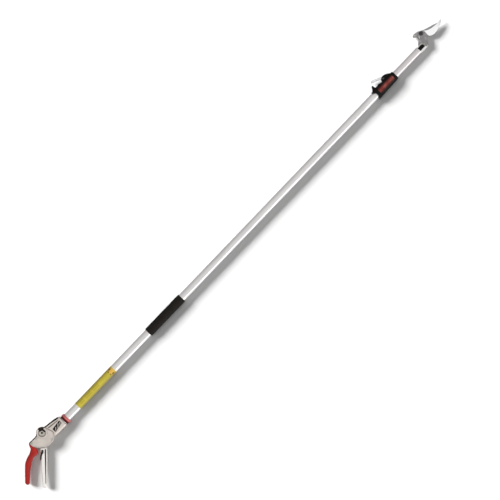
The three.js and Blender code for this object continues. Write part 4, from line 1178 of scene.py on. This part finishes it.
# ---- inner pieces that keep their CAD shape -------------------------------------------------------

for finish, nodes in (
    (ZINC, ("drive_tube", "drive_clevis", "drive_end_sleeve", "spring_collar", "return_spring",
            "lock_pad")),
    (BLACK, ("inner_tail_bush", "spring_seat")),
    (GROUND, ("drive_pin", "tang_pin", "drive_rod")),
):
    for node in nodes:
        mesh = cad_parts[node].data
        mesh.materials.clear()
        mesh.materials.append(finish)


# ---- ground, light and camera ---------------------------------------------------------------------

def ground():
    """A very large pale sheet just under the tool."""
    half, under = 60.0, -0.0002
    corners = [(x * half, y * half, under) for x, y in ((-1, -1), (1, -1), (1, 1), (-1, 1))]
    mesh = bpy.data.meshes.new("ground")
    mesh.from_pydata(corners, [], [(0, 1, 2, 3)])
    sheet = placed("ground", mesh)
    f = Finish("pale_ground", (0.93, 0.93, 0.925), 0.9)
    f.tint(f.spread(f.noise(3, 3), 0.3, 0.7), (0.94, 0.94, 0.935))
    mesh.materials.append(f.material)
    sheet.visible_glossy = False
    return sheet


def soft_sun(name, azimuth, elevation, width, power, seen_by, only=None, except_for=None, shadow=True):
    """Parallel soft light from a direction in degrees, as wide as a soft box of that angle. seen_by says
    whether it lights matt surfaces, shows as a highlight on glossy ones, or both. It may be flagged off the
    tool (only) or off the ground (except_for)."""
    data = bpy.data.lights.new(name, "SUN")
    data.angle, data.energy, data.use_shadow = math.radians(width), power, shadow
    sun = placed(name, data)
    sun.rotation_euler = (0, math.radians(90 - elevation), math.radians(azimuth))
    sun.visible_diffuse, sun.visible_glossy = "matt" in seen_by, "gloss" in seen_by
    for target, state in ((only, "INCLUDE"), (except_for, "EXCLUDE")):
        if target:
            group = bpy.data.collections.new(name + "_flag")
            group.objects.link(target)
            group.collection_objects[0].light_linking.link_state = state
            sun.light_linking.receiver_collection = group


def surroundings(overhead, horizon, below, matt_share):
    """A pale studio: brightness runs smoothly from overhead to the horizon, and is lower beneath it. Matt
    surfaces take only a share of it, so that the lamps model them."""
    world = bpy.data.worlds.new("studio")
    world.use_nodes = True
    tree = world.node_tree
    new, link = tree.nodes.new, tree.links.new
    up = new("ShaderNodeSeparateXYZ")
    link(new("ShaderNodeTexCoord").outputs["Generated"], up.inputs[0])
    height = new("ShaderNodeMapRange")
    height.inputs["From Min"].default_value = -1
    link(up.outputs["Z"], height.inputs["Value"])
    ramp = new("ShaderNodeValToRGB")
    link(height.outputs["Result"], ramp.inputs["Fac"])
    levels = ((0.0, below), (0.46, below), (0.54, horizon), (0.80, (horizon + overhead) / 2),
              (1.0, overhead))
    while len(ramp.color_ramp.elements) < len(levels):
        ramp.color_ramp.elements.new(0.5)
    for step, (at, level) in zip(ramp.color_ramp.elements, levels):
        step.position, step.color = at, (level, level, level, 1)
    share = new("ShaderNodeMapRange")
    share.inputs["To Min"].default_value, share.inputs["To Max"].default_value = 1.0, matt_share
    link(new("ShaderNodeLightPath").outputs["Is Diffuse Ray"], share.inputs["Value"])
    background = tree.nodes["Background"]
    link(ramp.outputs["Color"], background.inputs["Color"])
    link(share.outputs["Result"], background.inputs["Strength"])
    bpy.context.scene.world = world


VIEW_TURN = math.radians(46.24)
FRAME_WIDTH = 1.525
LENS, SENSOR = 150.0, 36.0
LOOK_AT = DATUM + np.array([740.0, -49.4, 0.0]) * MM


def camera():
    """Long lens straight above the tool, turned so that the pole rises to the right."""
    data = bpy.data.cameras.new("above")
    data.lens, data.sensor_width = LENS, SENSOR
    data.clip_end = 100
    eye = placed("above", data)
    eye.location = (LOOK_AT[0], LOOK_AT[1], LOOK_AT[2] + FRAME_WIDTH * LENS / SENSOR)
    eye.rotation_euler = (0, 0, -VIEW_TURN)
    bpy.context.scene.camera = eye


sheet = ground()
surroundings(1.0, 0.62, 0.58, 0.21)
soft_sun("key", 109, 34.5, 26, 5.1, ("matt",), only=sheet)
soft_sun("floor_fill", 0, 80, 60, 0.32, ("matt",), only=sheet, shadow=False)
soft_sun("top", -80, 68, 40, 3.1, ("matt",), except_for=sheet)
soft_sun("edge_strip", -90, 15, 36, 0.85, ("gloss",))
camera()
bpy.context.scene.view_settings.view_transform = "Standard"
